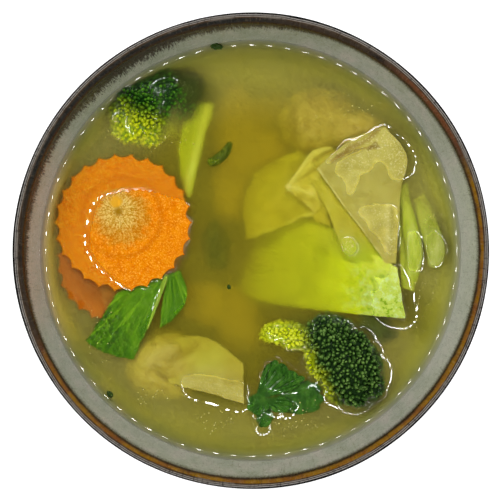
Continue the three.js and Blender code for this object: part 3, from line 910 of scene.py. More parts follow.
piece(floret("broccoli_big_floret", broccoli_look("broccoli_big_green",
    ((22, 46, 14), (52, 84, 28), (118, 152, 74)), ((166, 182, 4), (200, 210, 12), (220, 226, 66)),
    (-1.0, -0.5), -6.5, 1.5), [
    crown(px(345, 363, -3.4), (17.6, 12.4, 10.4), -0.93, 18, 0.34, 1060, 0.74, 3),
    crown(px(331, 331, -4.2), (9.6, 6.6, 7.0), -0.2, 9, 0.42, 260, 0.74, 4),
    crown(px(292, 335, -2.6), (5.4, 4.4, 3.6), -0.2, 8, 0.42, 130, 0.86, 5),
    crown(px(309, 339, -2.8), (4.8, 4.6, 4.2), 0.4, 7, 0.44, 100, 0.86, 6),
    crown(px(275, 332, -2.6), (5.0, 3.6, 2.9), 0.2, 6, 0.46, 90, 0.84, 7)], [
    (at(17, -26, -17), at(22, -31, -8), 4.2, 4.2), (at(21, -30, -9.8), px(343, 364, -3.4), 4.2, 5.2),
    (at(21, -30, -9.8), px(288, 335, -1.9), 1.9, 1.9)]), "broccoli", "broccoli_big", dry=0.3)
piece(floret("broccoli_small_floret", broccoli_look("broccoli_small_green",
    ((16, 50, 8), (40, 86, 14), (88, 146, 30)), ((138, 172, 2), (194, 208, 6), (230, 230, 50)),
    (-0.3, -0.95), -38.5, -24.5), [
    crown(px(140, 108, -5.8), (11.4, 11.6, 8.2), 0.15, 14, 0.36, 640, 0.84, 9),
    crown(px(161, 92, -5.5), (9.4, 8.4, 6.0), 0.4, 9, 0.42, 260, 0.82, 10),
    crown(px(173, 101, -6.8), (8.6, 9.2, 5.6), 0.9, 9, 0.42, 220, 0.8, 11),
    crown(px(128, 128, -4.7), (6.0, 5.4, 4.6), 0.0, 7, 0.45, 110, 0.84, 12),
    crown(px(148, 133, -5.2), (6.6, 5.0, 4.8), 0.3, 7, 0.45, 120, 0.84, 13)],
    [(at(-21, 38, -18), px(142, 108, -3.6), 3.4, 4.6)]), "broccoli", "broccoli_small", dry=0.35)


# Wontons


def wrapper_look(name, low, middle, high, more=None, specked=0.7):
    """Boiled wrapper: yellowish, cloudy, with a fine pale grain that shows where it is dry."""
    look = Look(name, coat=0.25, specular=0.15, gloss=0.1, glow=(0.3, (0.003, 0.0022, 0.0008)))
    cloud = look.noise(6, 4, 0.6, 0.6)
    colour = look.ramp(cloud, [(0.28, low), (0.5, middle), (0.74, high)])
    if more:
        colour = more(look, colour)
    grain = look.noise(0.62, 3, 0.75)
    dry = look.span(look.height(), 0.1, 0.7)
    specks = look.span(grain, 0.5, 0.68, 0.0, specked)
    colour = look.mix(specks * look.math("MAXIMUM", dry, 0.35), colour, (236, 230, 170))
    look.colour(colour, 0.25, 1.2)
    look.bump(grain + look.noise(4, 3, 0.5), 0.26, 0.6)
    return look.material


def pleats(count, depth, seed):
    def share(d):
        angle = np.arctan2(d[:, 1], d[:, 0])
        folds = np.sin(count * angle + 2 * d[:, 2] + 0.6 * np.sin(3 * angle + seed))
        sharp = np.sign(folds) * np.abs(folds) ** 0.6
        small = ripple(d * 10, 4.0, 0.05, seed)
        return 1 + depth * sharp * np.sqrt(1 - np.abs(d[:, 2])) + small

    return share


def waves(*terms):
    """Heights from sines: each term is (amount, turns along u, turns along v, start)."""

    def offset(u, v):
        z = sum(a * np.sin(2 * math.pi * (m * u + n * v) + s) for a, m, n, s in terms)
        return np.stack([np.zeros_like(u), np.zeros_like(u), z], 2)

    return offset


def with_bulge(bulge, offset):
    def both(u, v):
        made = offset(u, v)
        made[:, :, 2] += bulge * np.sin(math.pi * u) * np.sin(math.pi * v)
        return made

    return both


def pouch(name, spot, half, look, count, depth, seed, dents=()):
    """A filled pouch: broad on top, pleated at its sides, with dents along lines of pixels on its top."""
    share = pleats(count, depth, seed)

    def shaped(d):
        level = np.hypot(np.hypot(d[:, 0], d[:, 1]), 1e-6)
        wide = (level**2.6 + np.abs(d[:, 2]) ** 2.6) ** (-1 / 2.6)
        return wide**0.65 * share(d)

    obj = blob(name, spot, half, look, 6, shaped)
    places = np.array([v.co[:] for v in obj.data.vertices]) / MM
    upper = np.clip((places[:, 2] - spot[2]) / half[2], 0, 1)
    for line, width, height in dents:
        dent = [px(*q, spot[2] + half[2] - LEVEL) for q in line]
        far = np.abs(from_line(places[:, 0], places[:, 1], dent))
        places[:, 2] += upper * height * np.exp(-((far / (width * PIXEL_AT_BROTH)) ** 1.6))
    obj.data.vertices.foreach_set("co", (places * MM).ravel())
    obj.data.update()
    return obj


def painted_fold_shading(*lines):
    """Strokes of painted shade in creases and painted highlight on ridges and edges of folds: each is
    (pixels, width in mm, share, colour).
    """

    def paint(look, colour):
        shift = (look.noise(3.5, 3, 0.6) - 0.5) * 2.2
        for line, width, share, tone in lines:
            far = abs(look.stroke(*line) + shift)
            colour = look.lay(colour, tone, far, width, width * 0.1, share)
        return colour

    return paint


filled = wrapper_look("wonton_filled", (150, 128, 46), (168, 148, 60), (190, 172, 84), more=painted_fold_shading(
    (((292, 108), (290, 128), (294, 146)), 3.4, 0.4, (128, 104, 30)),
    (((303, 104), (300, 118), (303, 134)), 2.2, 0.22, (204, 188, 104)),
    (((314, 112), (313, 126), (316, 142)), 2.4, 0.22, (206, 190, 108)),
    (((296, 150), (312, 149), (330, 144)), 1.8, 0.5, (132, 106, 34))))
piece(pouch("wonton_far_pouch", px(320, 123, -9.3), (14.4, 12.2, 7.4), filled, 9, 0.03, 1.0, dents=(
    (((304, 102), (300, 118), (303, 140)), 6, 0.35), (((292, 104), (290, 128), (296, 148)), 6, -0.6),
    (((322, 104), (321, 120), (324, 142)), 5, -0.3))), "wonton", "wonton_far")
piece(pouch("wonton_far_fold", px(356, 132, -6.0), (10.6, 7.2, 4.8),
    wrapper_look("wonton_filled_fold", (160, 138, 54), (176, 156, 68), (196, 178, 92)), 6, 0.05, 2.0,
    dents=(
    (((330, 147), (348, 139), (364, 133)), 3, -0.8), (((340, 120), (356, 118), (372, 124)), 4, 0.4))),
    "wonton")

# Painted shade for creases and painted highlight for fold ridges and edges
PAINTED_CREASE_SHADE, PAINTED_HIGHLIGHT = (138, 108, 38), (228, 220, 148)
piece(sheet("wonton_far_main_flap",
    [(317, 169, -1.2), (328, 184, -0.95), (347, 211, -0.9), (366, 235, -0.85), (385, 263, -0.9)],
    [(385, 127, -0.7), (399, 143, -0.5), (407, 160, -0.5), (401, 192, -0.8), (396, 263, -0.7)],
    wrapper_look("wonton_wrapper_top", (166, 155, 66), (182, 172, 80), (198, 189, 98), more=painted_fold_shading(
    (((333, 161), (350, 148), (366, 141), (378, 130)), 1.5, 0.6, PAINTED_CREASE_SHADE),
    (((338, 156), (352, 151), (368, 148), (374, 148)), 1.2, 0.5, (128, 98, 34)),
    (((368, 150), (375, 144), (378, 147)), 1.0, 0.55, (110, 84, 26)),
    (((388, 205), (387, 230), (388, 256)), 1.6, 0.2, PAINTED_HIGHLIGHT),
    (((318, 169), (346, 209), (366, 234), (384, 262)), 0.7, 0.5, PAINTED_HIGHLIGHT),
    (((392, 204), (391, 232), (391, 258)), 1.0, 0.3, (150, 142, 60)))), 0.9, 100, 84,
    waves((0.06, 1.5, 0.6, 0.5), (0.04, 0.4, 2.6, 2.0)), spots=(
    (342, 170, 10, 0.9), (353, 160, 11, 0.9), (366, 152, 11, 0.9), (380, 144, 11, 1.0), (392, 148, 11, 1.5),
    (401, 160, 9, 1.8), (401, 172, 9, 1.2), (352, 180, 9, 0.9), (364, 166, 8, 0.8), (350, 191, 6, 0.7),
    (364, 212, 8, 0.9), (378, 211, 9, 0.9), (388, 219, 8, 0.9), (376, 226, 9, 0.9), (387, 238, 8, 0.9),
    (390, 250, 7, 0.9), (392, 210, 7, 0.9), (393, 226, 7, 0.9), (393, 241, 7, 0.9)), most=1.5, folds=(
    (328, 161, 346, 147, 5, 1.0), (346, 147, 384, 130, 5, 0.6), (336, 161, 356, 151, 2, -0.3),
    (356, 151, 382, 140, 2, -0.25)), rough=(4.0, 0.09), round_ends=(2.2, 0.0), ragged=(6.0, 0.25)),
    "wonton", dry=0.28)


def greenish(look, colour):
    """The cabbage shows through the lower end of the layer."""
    low = look.span(look.across((310, 225), (390, 235)), -2.0, 10.0, 0.0, 0.85)
    return look.mix(low, colour, (170, 190, 22))


piece(sheet("wonton_far_second_flap",
    [(311, 182, -2.6), (319, 196, -2.2), (329, 216, -1.9), (337, 237, -1.7), (346, 258, -2.0)],
    [(352, 160, -3.0), (368, 190, -2.6), (378, 220, -2.2), (384, 245, -1.9), (386, 266, -1.7)],
    wrapper_look("wonton_wrapper_under", (168, 158, 50), (188, 180, 62), (208, 200, 92), more=greenish),
    0.8, 60, 50, waves((0.15, 1.2, 1.0, 0.0), (0.1, 3, 1.4, 1.0)),
    spots=((346, 242, 11, 1.5), (349, 250, 11, 1.5)), folds=((312, 184, 338, 238, 1.6, 0.3),),
    ragged=(4.0, 0.4), round_ends=(0.0, 1.4)), "wonton", dry=0.4)
piece(sheet("wonton_far_fan",
    [(285, 187, -3.4), (294, 176, -3.5), (302, 164, -3.6), (313, 151, -3.7), (330, 146, -3.7)],
    [(315, 213, -3.4), (324, 200, -3.0), (331, 186, -2.8), (338, 170, -2.6), (345, 156, -2.5)],
    wrapper_look("wonton_wrapper_fan", (194, 182, 84), (214, 204, 104), (230, 222, 136), more=painted_fold_shading(
    (((330, 147), (312, 152), (302, 164), (287, 186)), 1.3, 0.7, PAINTED_HIGHLIGHT),
    (((287, 185), (303, 190), (314, 194)), 1.0, 0.7, PAINTED_HIGHLIGHT),
    (((288, 190), (298, 202), (315, 212)), 1.1, 0.7, PAINTED_HIGHLIGHT),
    (((300, 180), (312, 170), (328, 162)), 1.3, 0.5, (150, 128, 36)),
    (((300, 196), (314, 200)), 1.6, 0.4, (156, 140, 36)),
    (((314, 160), (326, 153), (338, 152)), 1.4, 0.5, PAINTED_CREASE_SHADE))), 0.8, 60, 70,
    waves((0.35, 0.2, 1.8, 0.0), (0.15, 0.5, 3.5, 1.0)), folds=(
    (288, 187, 312, 154, 2.5, 0.6), (288, 190, 314, 212, 2.5, 0.6), (300, 180, 328, 162, 2.5, -0.6),
    (288, 186, 314, 194, 2.0, 0.5), (300, 197, 316, 201, 2.5, -0.4)), ragged=(3.0, 0.35)), "wonton")
piece(sheet("wonton_far_back_fold", [(293, 188, -4.6), (302, 202, -4.8), (316, 222, -4.6)],
    [(316, 176, -3.8), (324, 196, -3.8), (332, 226, -3.6)],
    wrapper_look("wonton_wrapper_sunk", (178, 166, 54), (198, 188, 72), (216, 206, 100)), 0.8, 40, 40,
    waves((0.3, 1.2, 0.4, 0.0), (0.2, 2.5, 1.5, 1.0)), ragged=(3.0, 0.5)), "wonton")
piece(sheet("wonton_far_sunk_flap", [(248, 239, -7.6), (244, 210, -8.4), (254, 172, -9.4)],
    [(314, 214, -5.0), (312, 190, -5.4), (306, 146, -6.6)], wrapper_look("wonton_wrapper_deep",
    (174, 166, 56), (196, 188, 74), (218, 210, 110), more=painted_fold_shading(
    (((246, 237), (243, 210), (252, 174), (276, 158)), 5.5, 0.85, (168, 156, 26)),
    (((258, 236), (280, 229), (314, 213)), 1.8, 0.85, (226, 220, 132)),
    (((262, 214), (300, 176)), 2.6, 0.4, (220, 208, 110)))), 0.9, 50, 60,
    with_bulge(0.6, waves((0.5, 0.5, 1.5, 0.0), (0.25, 1.5, 3.0, 1.0))),
    folds=((252, 238, 314, 213, 2, 0.8), (262, 215, 300, 175, 4, 0.6)), ragged=(5.0, 0.6)), "wonton")

piece(pouch("wonton_near_pouch", px(165, 365, -8.6), (14.4, 12.2, 8.0), wrapper_look("wonton_filled_near",
    (158, 141, 53), (178, 161, 69), (195, 181, 88), more=painted_fold_shading(
    (((157, 374), (164, 379), (182, 384)), 1.6, 0.6, (122, 98, 26)),
    (((170, 366), (178, 356), (192, 346)), 2.4, 0.45, (134, 112, 34)),
    (((146, 362), (158, 350), (172, 346)), 3.0, 0.35, (204, 192, 98)),
    (((136, 386), (158, 397), (180, 396)), 2.0, 0.4, (206, 192, 104)),
    (((150, 386), (166, 390)), 2.2, 0.3, (140, 118, 36)))), 5, 0.03, 4.0, dents=(
    (((154, 373), (166, 379), (184, 384)), 4, -1.0), (((170, 366), (178, 356), (192, 346)), 5, -0.6),
    (((148, 362), (158, 352), (170, 348)), 8, 0.5))), "wonton", "wonton_near")
piece(sheet("wonton_near_tail",
    [(158, 342, -4.4), (176, 338, -3.6), (200, 336, -3.3), (222, 346, -2.8), (243, 364, -2.3)],
    [(158, 378, -3.2), (172, 383, -2.0), (188, 388, -0.1), (216, 395, 0.35), (244, 404, 0.5)], wrapper_look(
    "wonton_wrapper_tail", (166, 152, 58), (180, 168, 72), (194, 184, 92), more=painted_fold_shading(
    (((184, 381), (214, 387), (243, 394)), 3.0, 0.3, (186, 178, 100)),
    (((200, 389), (220, 393), (243, 400)), 1.0, 0.25, (160, 152, 70)),
    (((206, 362), (214, 360)), 7.0, 0.5, (190, 190, 84)),
    (((182, 356), (196, 346)), 3.0, 0.35, (140, 118, 36))), specked=0.2), 0.8, 110, 60,
    waves((0.12, 0.8, 0.6, 0.6), (0.06, 2.5, 0.8, 1.0)), folds=((186, 379, 246, 388, 6, 1.2),),
    ragged=(4.0, 0.3)), "wonton", dry=0.05)


# Cabbage, stalks and leaves


def leaf_look(name, low, middle, high, vein, vein_size, turn, stretch=3.0, milky=0.15, pale=None,
        bump=0.3, grain=(0.9, 0.5), more=None):
    """A leaf with streaks along it, and pale where it is high above the broth if pale is given."""
    look = Look(name, coat=0.25, specular=0.15, gloss=0.1, glow=(milky, (0.002, 0.003, 0.0005)))
    along = look.mapped(scale=(1.0, 1.0 / stretch, 1.0), turn=turn)
    streak = look.noise(vein_size, 4, 0.6, 0.4, vector=along)
    colour = look.ramp(streak, [(0.26, low), (0.5, middle), (0.76, high)])
    fine = look.noise(grain[0], 3, 0.7)
    colour = look.lay(colour, vein, fine, 0.56, 0.76, grain[1])
    if pale:
        colour = look.lay(colour, pale[2], look.height(), pale[0], pale[1], 0.7)
    if more:
        colour = more(look, colour)
    look.colour(colour, 0.25)
    look.bump(streak + fine * 0.5, bump, 0.6)
    return look.material


def blotches_and_depth_shade(look, colour):
    # Painted shade: darker olive where the leaf lies deep under the broth
    colour = look.lay(colour, (136, 130, 2), look.height(), -10.0, -16.5)
    near = look.span(look.radius(px(398, 296)), 24, 7)
    patch = look.noise(2.4, 4, 0.7)
    colour = look.mix(near * look.span(patch, 0.5, 0.62), colour, (198, 220, 136))
    colour = look.mix(near * look.span(patch, 0.46, 0.36), colour, (128, 164, 20))
    upper = look.span(look.across((296, 214), (396, 262)), 9.0, 1.0, 0.0, 0.6)
    colour = look.mix(upper, colour, (224, 232, 108))
    veins = look.rays(px(408, 322), 1.6, 0.02, 3, 0.6)
    return look.lay(colour, (206, 220, 70), veins, 0.56, 0.68, 0.4)


cabbage_look = leaf_look("cabbage_flesh", (164, 182, 2), (194, 208, 2), (208, 220, 18), (214, 232, 100),
    vein_size=5.0, turn=-0.5, milky=0.25, pale=(-1.6, 0.6, (186, 206, 96)), grain=(0.8, 0.5), more=blotches_and_depth_shade)
piece(sheet("cabbage_leaf_blade",
    [(405, 318, 1.2), (376, 316, -0.6), (346, 313, -2.6), (310, 309, -5.9), (272, 303, -10.2),
    (236, 294, -16)],
    [(397, 268, -1.0), (380, 256, -2.2), (350, 236, -4.2), (320, 222, -6.9), (294, 212, -10.0),
    (266, 208, -14.5)], cabbage_look, 1.8, 110, 60,
    with_bulge(0.9, waves((0.25, 2.2, 0.3, 0.0), (0.2, 0.6, 3.0, 1.0), (0.1, 5.0, 1.0, 2.0))),
    spots=((390, 296, 18, 0.5), (398, 270, 8, 0.8)),
    folds=((402, 314, 330, 262, 3, 0.35), (396, 300, 350, 250, 2.5, 0.3), (400, 316, 340, 292, 2.5, 0.3)),
    rough=(2.6, 0.16)), "cabbage", "cabbage_leaf", dry=0.3)

stalk_green = leaf_look(
    "stalk_green", (144, 162, 30), (178, 190, 66), (204, 212, 116), (218, 224, 150), 2.2, 0.15, 6.0, 0.3)
stalk_pale = leaf_look(
    "stalk_pale", (142, 154, 44), (170, 178, 76), (194, 198, 118), (214, 216, 150), 2.2, -0.15, 6.0, 0.3)
piece(tube("stalk_inner_piece",
    [at(52.6, 20, -4.6), at(55.0, 9, -2.0), at(56.6, 0, -0.35), at(56.2, -6, -1.0), at(55.1, -13.4, -3)],
    swelling(1.8, 0.9), swelling(1.1, 0.45), stalk_green, ribs=(6, 0.07)), "stalk", "stalk_inner", dry=0.22)
piece(tube("stalk_outer_piece",
    [at(58.6, 17, -5), at(61.8, 8, -2.2), at(64, 0, -0.15), at(63.6, -6.6, -1.3)],
    swelling(1.6, 1.8), swelling(1.0, 0.65), stalk_pale, ribs=(7, 0.06)), "stalk", "stalk_outer", dry=0.22)
piece(sheet("stalk_sunk_strip", [(400, 188, -4.0), (399, 230, -3.0), (400, 262, -2.4), (401, 288, -2.4)],
    [(407, 182, -4.6), (413, 225, -3.8), (415, 262, -3.0), (414, 291, -3.0)], stalk_green, 1.5, 40, 14,
    waves((0.2, 1.0, 0.5, 0.0))), "stalk")
piece(sheet("stalk_sunk_streak", [(414, 200, -6.0), (420, 216, -5.4), (426, 240, -5.0)],
    [(424, 194, -6.4), (434, 212, -6.0), (441, 236, -5.6)], stalk_pale, 1.3, 36, 14,
    waves((0.2, 1.0, 0.5, 0.0))), "stalk")


def leaf_veins(look, colour):
    veins = look.rays(px(170, 262), 0.55, 0.03, 3, 0.7)
    colour = look.lay(colour, (30, 78, 2), veins, 0.46, 0.36, 0.8)
    colour = look.lay(colour, (132, 180, 30), veins, 0.54, 0.64, 0.75)
    spotted = look.span(look.radius(px(98, 330)), 17, 5) * look.span(look.noise(1.2, 3, 0.75), 0.5, 0.4)
    colour = look.mix(spotted, colour, (26, 60, 4))
    return look.lay(colour, (170, 206, 70), look.noise(0.55, 2, 0.7), 0.6, 0.7, 0.7)


leaf_green = leaf_look("leaf_green", (48, 100, 2), (74, 124, 4), (102, 152, 12), (150, 190, 50),
    vein_size=3.0, turn=0.55, stretch=2.5, milky=0.1, grain=(0.5, 0.7), bump=0.5, more=leaf_veins)
piece(sheet("leaf_broad_blade", [(118, 293, -1.5), (107, 309, -1.2), (97, 325, -1.1), (86, 341, -1.0)],
    [(167, 274, -0.9), (158, 302, -0.6), (147, 330, -0.6), (133, 360, -0.9)], leaf_green, 0.7, 90, 80,
    with_bulge(0.3, waves((0.16, 0.0, 2.2, 0.5), (0.07, 0.8, 5.0, 1.0))), round_ends=(0.0, 1.0),
    ragged=(3.0, 0.5), folds=((128, 296, 96, 340, 2.5, -0.55), (146, 288, 118, 338, 2.5, -0.45),
    (120, 300, 104, 330, 2, 0.35)), rough=(1.8, 0.1)), "leaf", "leaf_broad", dry=0.3)
piece(tube("leaf_broad_midrib", [px(167, 274, -0.5), px(158, 300, -0.2), px(147, 330, -0.5)],
    lambda u: 1.0 - 0.6 * u, lambda u: 0.8 - 0.35 * u,
    leaf_look("leaf_rib", (104, 138, 24), (132, 160, 46), (158, 178, 78), (184, 196, 104), 1.4, 0.45, 6.0)),
    "leaf", dry=0.3)
piece(sheet("leaf_narrow_blade", [(169, 274, -1.0), (164, 295, -0.8), (161, 312, -0.6), (160, 328, -0.5)],
    [(180, 270, -1.0), (187, 290, -0.5), (184, 306, -0.5), (171, 321, -0.5)], leaf_green, 0.7, 60, 40,
    waves((0.15, 0.5, 1.0, 0.4), (0.06, 3.0, 1.2, 1.0)), folds=((170, 280, 166, 318, 2, -0.3),),
    rough=(1.8, 0.08)), "leaf", "leaf_narrow", dry=0.3)

herb_green = leaf_look("herb_green", (16, 46, 6), (44, 90, 20), (84, 130, 42), (116, 158, 66),
    vein_size=1.4, turn=-0.6, stretch=3.0, milky=0.06, grain=(0.6, 0.4), bump=0.35)
STEM_END = (256, 400, -0.9)
piece(fan("herb_fan_lobe", STEM_END,
    [(262, 380, -0.2), (266, 366, 0.4), (277, 360, 0.6), (292, 370, 0.6), (305, 379, 0.4),
    (290, 392, -0.2)], herb_green, pleats=(8, 0.34), lobes=(7, 0.07), rough=(1.6, 0.14), seed=1.0),
    "herb", "herb_leaf", dry=0.25)
piece(fan("herb_right_lobe", (270, 402, -1.1),
    [(296, 384, -0.9), (312, 380, -0.8), (323, 392, -0.7), (322, 406, -0.8), (308, 414, -0.9),
    (288, 413, -1.0)], herb_green, pleats=(6, 0.14), lobes=(5, 0.1), rough=(1.6, 0.12), seed=2.0,
    spots=((300, 401, 8, 0.4),)), "herb", dry=0.25)
piece(fan("herb_middle_lobe", (264, 399, -0.9),
    [(282, 396, -0.5), (292, 402, 0.1), (290, 411, 0.2), (280, 413, 0.1), (270, 411, 0.0)], herb_green,
    pleats=(4, 0.25), lobes=(4, 0.12), rough=(1.4, 0.14), seed=5.0), "herb", dry=0.2)
piece(fan("herb_left_lobe", (266, 398, -0.9),
    [(256, 393, -0.7), (248, 399, -0.5), (248, 410, -0.3), (258, 415, 0.0), (268, 410, 0.1),
    (270, 402, -0.3)],
    herb_green, pleats=(4, 0.22), lobes=(4, 0.08), rough=(1.4, 0.12), seed=3.0), "herb", dry=0.2)
piece(fan("herb_low_lobe", (263, 405, -1.2),
    [(256, 414, -1.1), (258, 424, -0.5), (264, 428, 0.2), (272, 422, -0.6), (274, 414, -1.1)], herb_green,
    pleats=(3, 0.2), lobes=(4, 0.1), rough=(1.4, 0.12), seed=4.0, spots=((264, 426, 4, 0.5),)),
    "herb", dry=0.2)

onion_green = leaf_look(
    "onion_green", (26, 44, 2), (72, 88, 6), (124, 136, 26), (150, 158, 56), 1.0, 0.8, 3.0, 0.06)
piece(tube("onion_curl_ring",
    [at(-14.6, 29.8, -0.35), at(-11.8, 30.9, -0.9), at(-8.8, 33.4, -1.3), at(-6.6, 37.2, -1.9)],
    lambda u: 1.0 + 0.7 * math.sin(math.pi * min(u * 1.1, 1)) ** 0.6,
    swelling(0.6, 0.35), onion_green, ribs=(5, 0.14)), "herb", "onion_curl", dry=0.35)


def ridge(look, colour):
    # A pale line along the stalk's ridge, partly its paler rib and partly painted highlight, and duller
    # deeper down as painted haze of the broth over it
    line = abs(look.across((208, 104), (190, 176)))
    colour = look.lay(colour, (226, 236, 150), line, 3.0, 0.2, 0.65)
    return look.lay(colour, (176, 166, 84), look.height(), -6.9, -8.4, 0.7)


piece(sheet("sunk_pale_stalk",
    [(194, 106, -8.0), (185, 122, -7.6), (179, 144, -6.8), (181, 168, -6.0), (187, 194, -5.4)],
    [(213, 104, -8.4), (209, 120, -7.4), (203, 142, -6.6), (197, 168, -6.0), (191, 194, -5.4)], leaf_look(
    "pale_stalk_flesh", (150, 172, 4), (180, 198, 14), (196, 208, 50), (216, 222, 120), 4.0, 0.1, 6.0, 0.3,
    more=ridge), 2.2, 56, 30, with_bulge(0.9, waves((0.3, 1.0, 0.5, 0.0))),
    folds=((208, 104, 190, 176, 3.5, 1.2),), round_ends=(0.8, 1.5), ragged=(5.0, 0.5)), "cabbage")

# Deep pieces that show only as blurred shapes
# The dark green ones are partly sunk parts of the small floret and partly painted shade: dark shapes put
# where shade lies, by the cabbage's edge and in the middle of the bowl
deep_green_and_shade = leaf_look(
    "deep_green_and_shade", (22, 38, 2), (34, 52, 4), (50, 68, 8), (60, 80, 14), 8.0, 0.2, 2.0, 0.05)
for n, (spot, half, turn) in enumerate([(px(216, 246, -6.9), (5.0, 8.6, 3), 0.1),
        (px(181, 90, -5.0), (7.6, 6.6, 3), 0.5), (px(189, 89, -7.6), (6.0, 5.6, 3), 0.2),
        (px(376, 327, -4.2), (8.0, 5.0, 3.0), -0.5), (px(300, 322, -8), (6.0, 3.0, 2.5), 0.1)]):
    piece(blob(f"deep_green_and_shade_{n}", spot, half, deep_green_and_shade, 4, pleats(5, 0.08, n * 1.3), turn), "leaf")
deep_yellow = leaf_look(
    "deep_flesh", (136, 108, 2), (160, 134, 4), (180, 154, 10), (190, 166, 24), 12.0, 0.2, 2.0, 0.3)
for n, (spot, half, turn) in enumerate([(px(240, 140, -15.6), (11, 19, 5), 0.1),
        (px(262, 120, -18), (12, 8, 5), 0.6), (px(232, 190, -14.6), (8, 12, 4), 0.0),
        (px(236, 322, -15.2), (9, 13, 5), 0.3), (px(206, 304, -12.5), (10, 8, 4), -0.4),
        (px(318, 262, -18), (12, 8, 5), 0.5), (px(272, 152, -13.6), (12, 8, 4), 0.3)]):
    piece(blob(f"deep_piece_{n}", spot, half, deep_yellow, 4, pleats(5, 0.06, n * 1.7), turn), "wonton")


# Broth: its surface is solved as a stretched skin that is pinned to what stands out of it

CELL = 0.3  # of the solving grid, in millimetres
CAPILLARY = 1.6  # how far a meniscus reaches
WALL_RISE = 1.7
WALL_REACH = 2.3


def top_map(size, reach):
    """Highest dry thing at each cell of a square grid, or a very low number."""
    tops = np.full((size, size), -1e3)
    dry = np.full((size, size), False)
    axis = np.linspace(-reach, reach, size)
    for obj, threshold in DRY:
        tree = BVHTree.FromObject(obj, bpy.context.evaluated_depsgraph_get())
        corners = np.array([v.co[:] for v in obj.data.vertices]) / MM
        low, high = corners.min(axis=0) - 0.5, corners.max(axis=0) + 0.5
        i0, i1 = np.searchsorted(axis, [low[0], high[0]])
        j0, j1 = np.searchsorted(axis, [low[1], high[1]])
        needed = np.full((i1 - i0, j1 - j0), 0.0)
        needed += threshold(axis[i0:i1, None], axis[None, j0:j1]) if callable(threshold) else threshold
        for i in range(i0, i1):
            for j in range(j0, j1):
                hit = tree.ray_cast(Vector((axis[i] * MM, axis[j] * MM, 0.08)), Vector((0, 0, -1)))
                if hit[0] is None:
                    continue
                height = hit[0].z / MM
                if height > LEVEL + needed[i - i0, j - j0]:
                    dry[i, j] = True
                tops[i, j] = max(tops[i, j], height)
    return axis, tops, dry


def solve_surface():
    reach = wall_radius(LEVEL) + 1.5
    size = int(2 * reach / CELL) + 1
    axis, tops, dry = top_map(size, reach)
    x, y = np.meshgrid(axis, axis, indexing="ij")
    # The wall draws the broth up by itself, and what the pieces add is solved for
    climb = WALL_RISE * np.exp((np.hypot(x, y) - wall_radius(LEVEL + WALL_RISE)) / WALL_REACH)
    value = np.where(dry, np.clip(tops - LEVEL - 0.12, -0.5, 1.1) - climb, 0.0)
    k = (CELL / CAPILLARY) ** 2
    h = value.copy()
    for _ in range(360):
        near = np.roll(h, 1, 0) + np.roll(h, -1, 0) + np.roll(h, 1, 1) + np.roll(h, -1, 1)
        h = np.where(dry, value, near / (4 + k))
    return axis, h + climb


def bilinear(axis, field, x, y):
    step = axis[1] - axis[0]
    fx = np.clip((x - axis[0]) / step, 0, len(axis) - 1.001)
    fy = np.clip((y - axis[0]) / step, 0, len(axis) - 1.001)
    i, j = fx.astype(int), fy.astype(int)
    a, b = fx - i, fy - j
    low = field[i, j] * (1 - a) + field[i + 1, j] * a
    high = field[i, j + 1] * (1 - a) + field[i + 1, j + 1] * a
    return low * (1 - b) + high * b


def broth_look():
    """Clear near its surface and cloudier with depth. Lamps shine straight through it."""
    look = Look("broth_liquid", roughness=0.56, ior=WATER_IOR)
    look.set("Base Color", (1.0, 1.0, 1.0, 1.0))
    look.set("Specular Tint", (0.0, 0.0, 0.0, 1.0))
    look.set("Transmission Weight", 1.0)
    look.set("Coat Weight", 1.0)
    look.set("Coat Roughness", 0.02)
    look.set("Coat IOR", 2.0)
    output = look.tree.nodes["Material Output"]
    through = look.add("ShaderNodeBsdfTransparent")
    path = look.add("ShaderNodeLightPath")
    mixed = look.add("ShaderNodeMixShader")
    look.feed(mixed.inputs[0], path.outputs["Is Shadow Ray"])
    look.tree.links.new(look.shader.outputs[0], mixed.inputs[1])
    look.tree.links.new(through.outputs[0], mixed.inputs[2])
    look.tree.links.new(mixed.outputs[0], output.inputs["Surface"])
    absorb = look.add("ShaderNodeVolumeAbsorption")
    absorb.inputs["Color"].default_value = (0.97, 0.955, 0.02, 1.0)
    absorb.inputs["Density"].default_value = 160.0
    look.tree.links.new(absorb.outputs[0], output.inputs["Volume"])
    return look.material


def make_broth():
    """The body of broth: its solved surface on a square grid bent to a disc, and rings down the wall."""
    axis, field = solve_surface()
    n = 288
    edge_height = LEVEL + WALL_RISE
    edge = wall_radius(edge_height) + 0.25
    s = np.linspace(-1, 1, n + 1)
    s = s * (1.12 - 0.12 * s**2)
    a, b = np.meshgrid(s, s, indexing="ij")
    x = a * np.sqrt(1 - b**2 / 2) * edge
    y = b * np.sqrt(1 - a**2 / 2) * edge
    z = LEVEL + bilinear(axis, field, x, y)
    places = np.stack([x, y, z], 2).reshape(-1, 3)
    faces = grid_faces(n + 1, n + 1)
    rim = border(n + 1, n + 1)
    rim_places = places[rim]
    angle = np.arctan2(rim_places[:, 1], rim_places[:, 0])
    parts = [places]
    upper, count = rim, len(places)
    for height in (46, 41, 35.5, 29.5, 24, 19, 15, 12, FLOOR + 0.4, FLOOR - 0.1):
        r = wall_radius(max(height, FLOOR + 0.05)) + 0.25 if height > FLOOR else 18.0
        parts.append(np.stack([r * np.cos(angle), r * np.sin(angle), np.full(len(angle), height)], 1))
        lower = list(range(count, count + len(angle)))
        for m in range(len(rim)):
            q = (m + 1) % len(rim)
            faces.append((upper[m], upper[q], lower[q], lower[m]))
        upper, count = lower, count + len(angle)
    faces += [(a, b, count) for a, b in zip(upper, upper[1:] + upper[:1])]
    places = np.concatenate([*parts, [[0, 0, FLOOR - 0.1]]])
    return mesh_object("broth_liquid_body", places, faces, broth_look())


piece(make_broth(), "broth", "broth")


# The broth's cloudiness: thin veils of suspended fat and starch, which hide more the deeper a thing lies


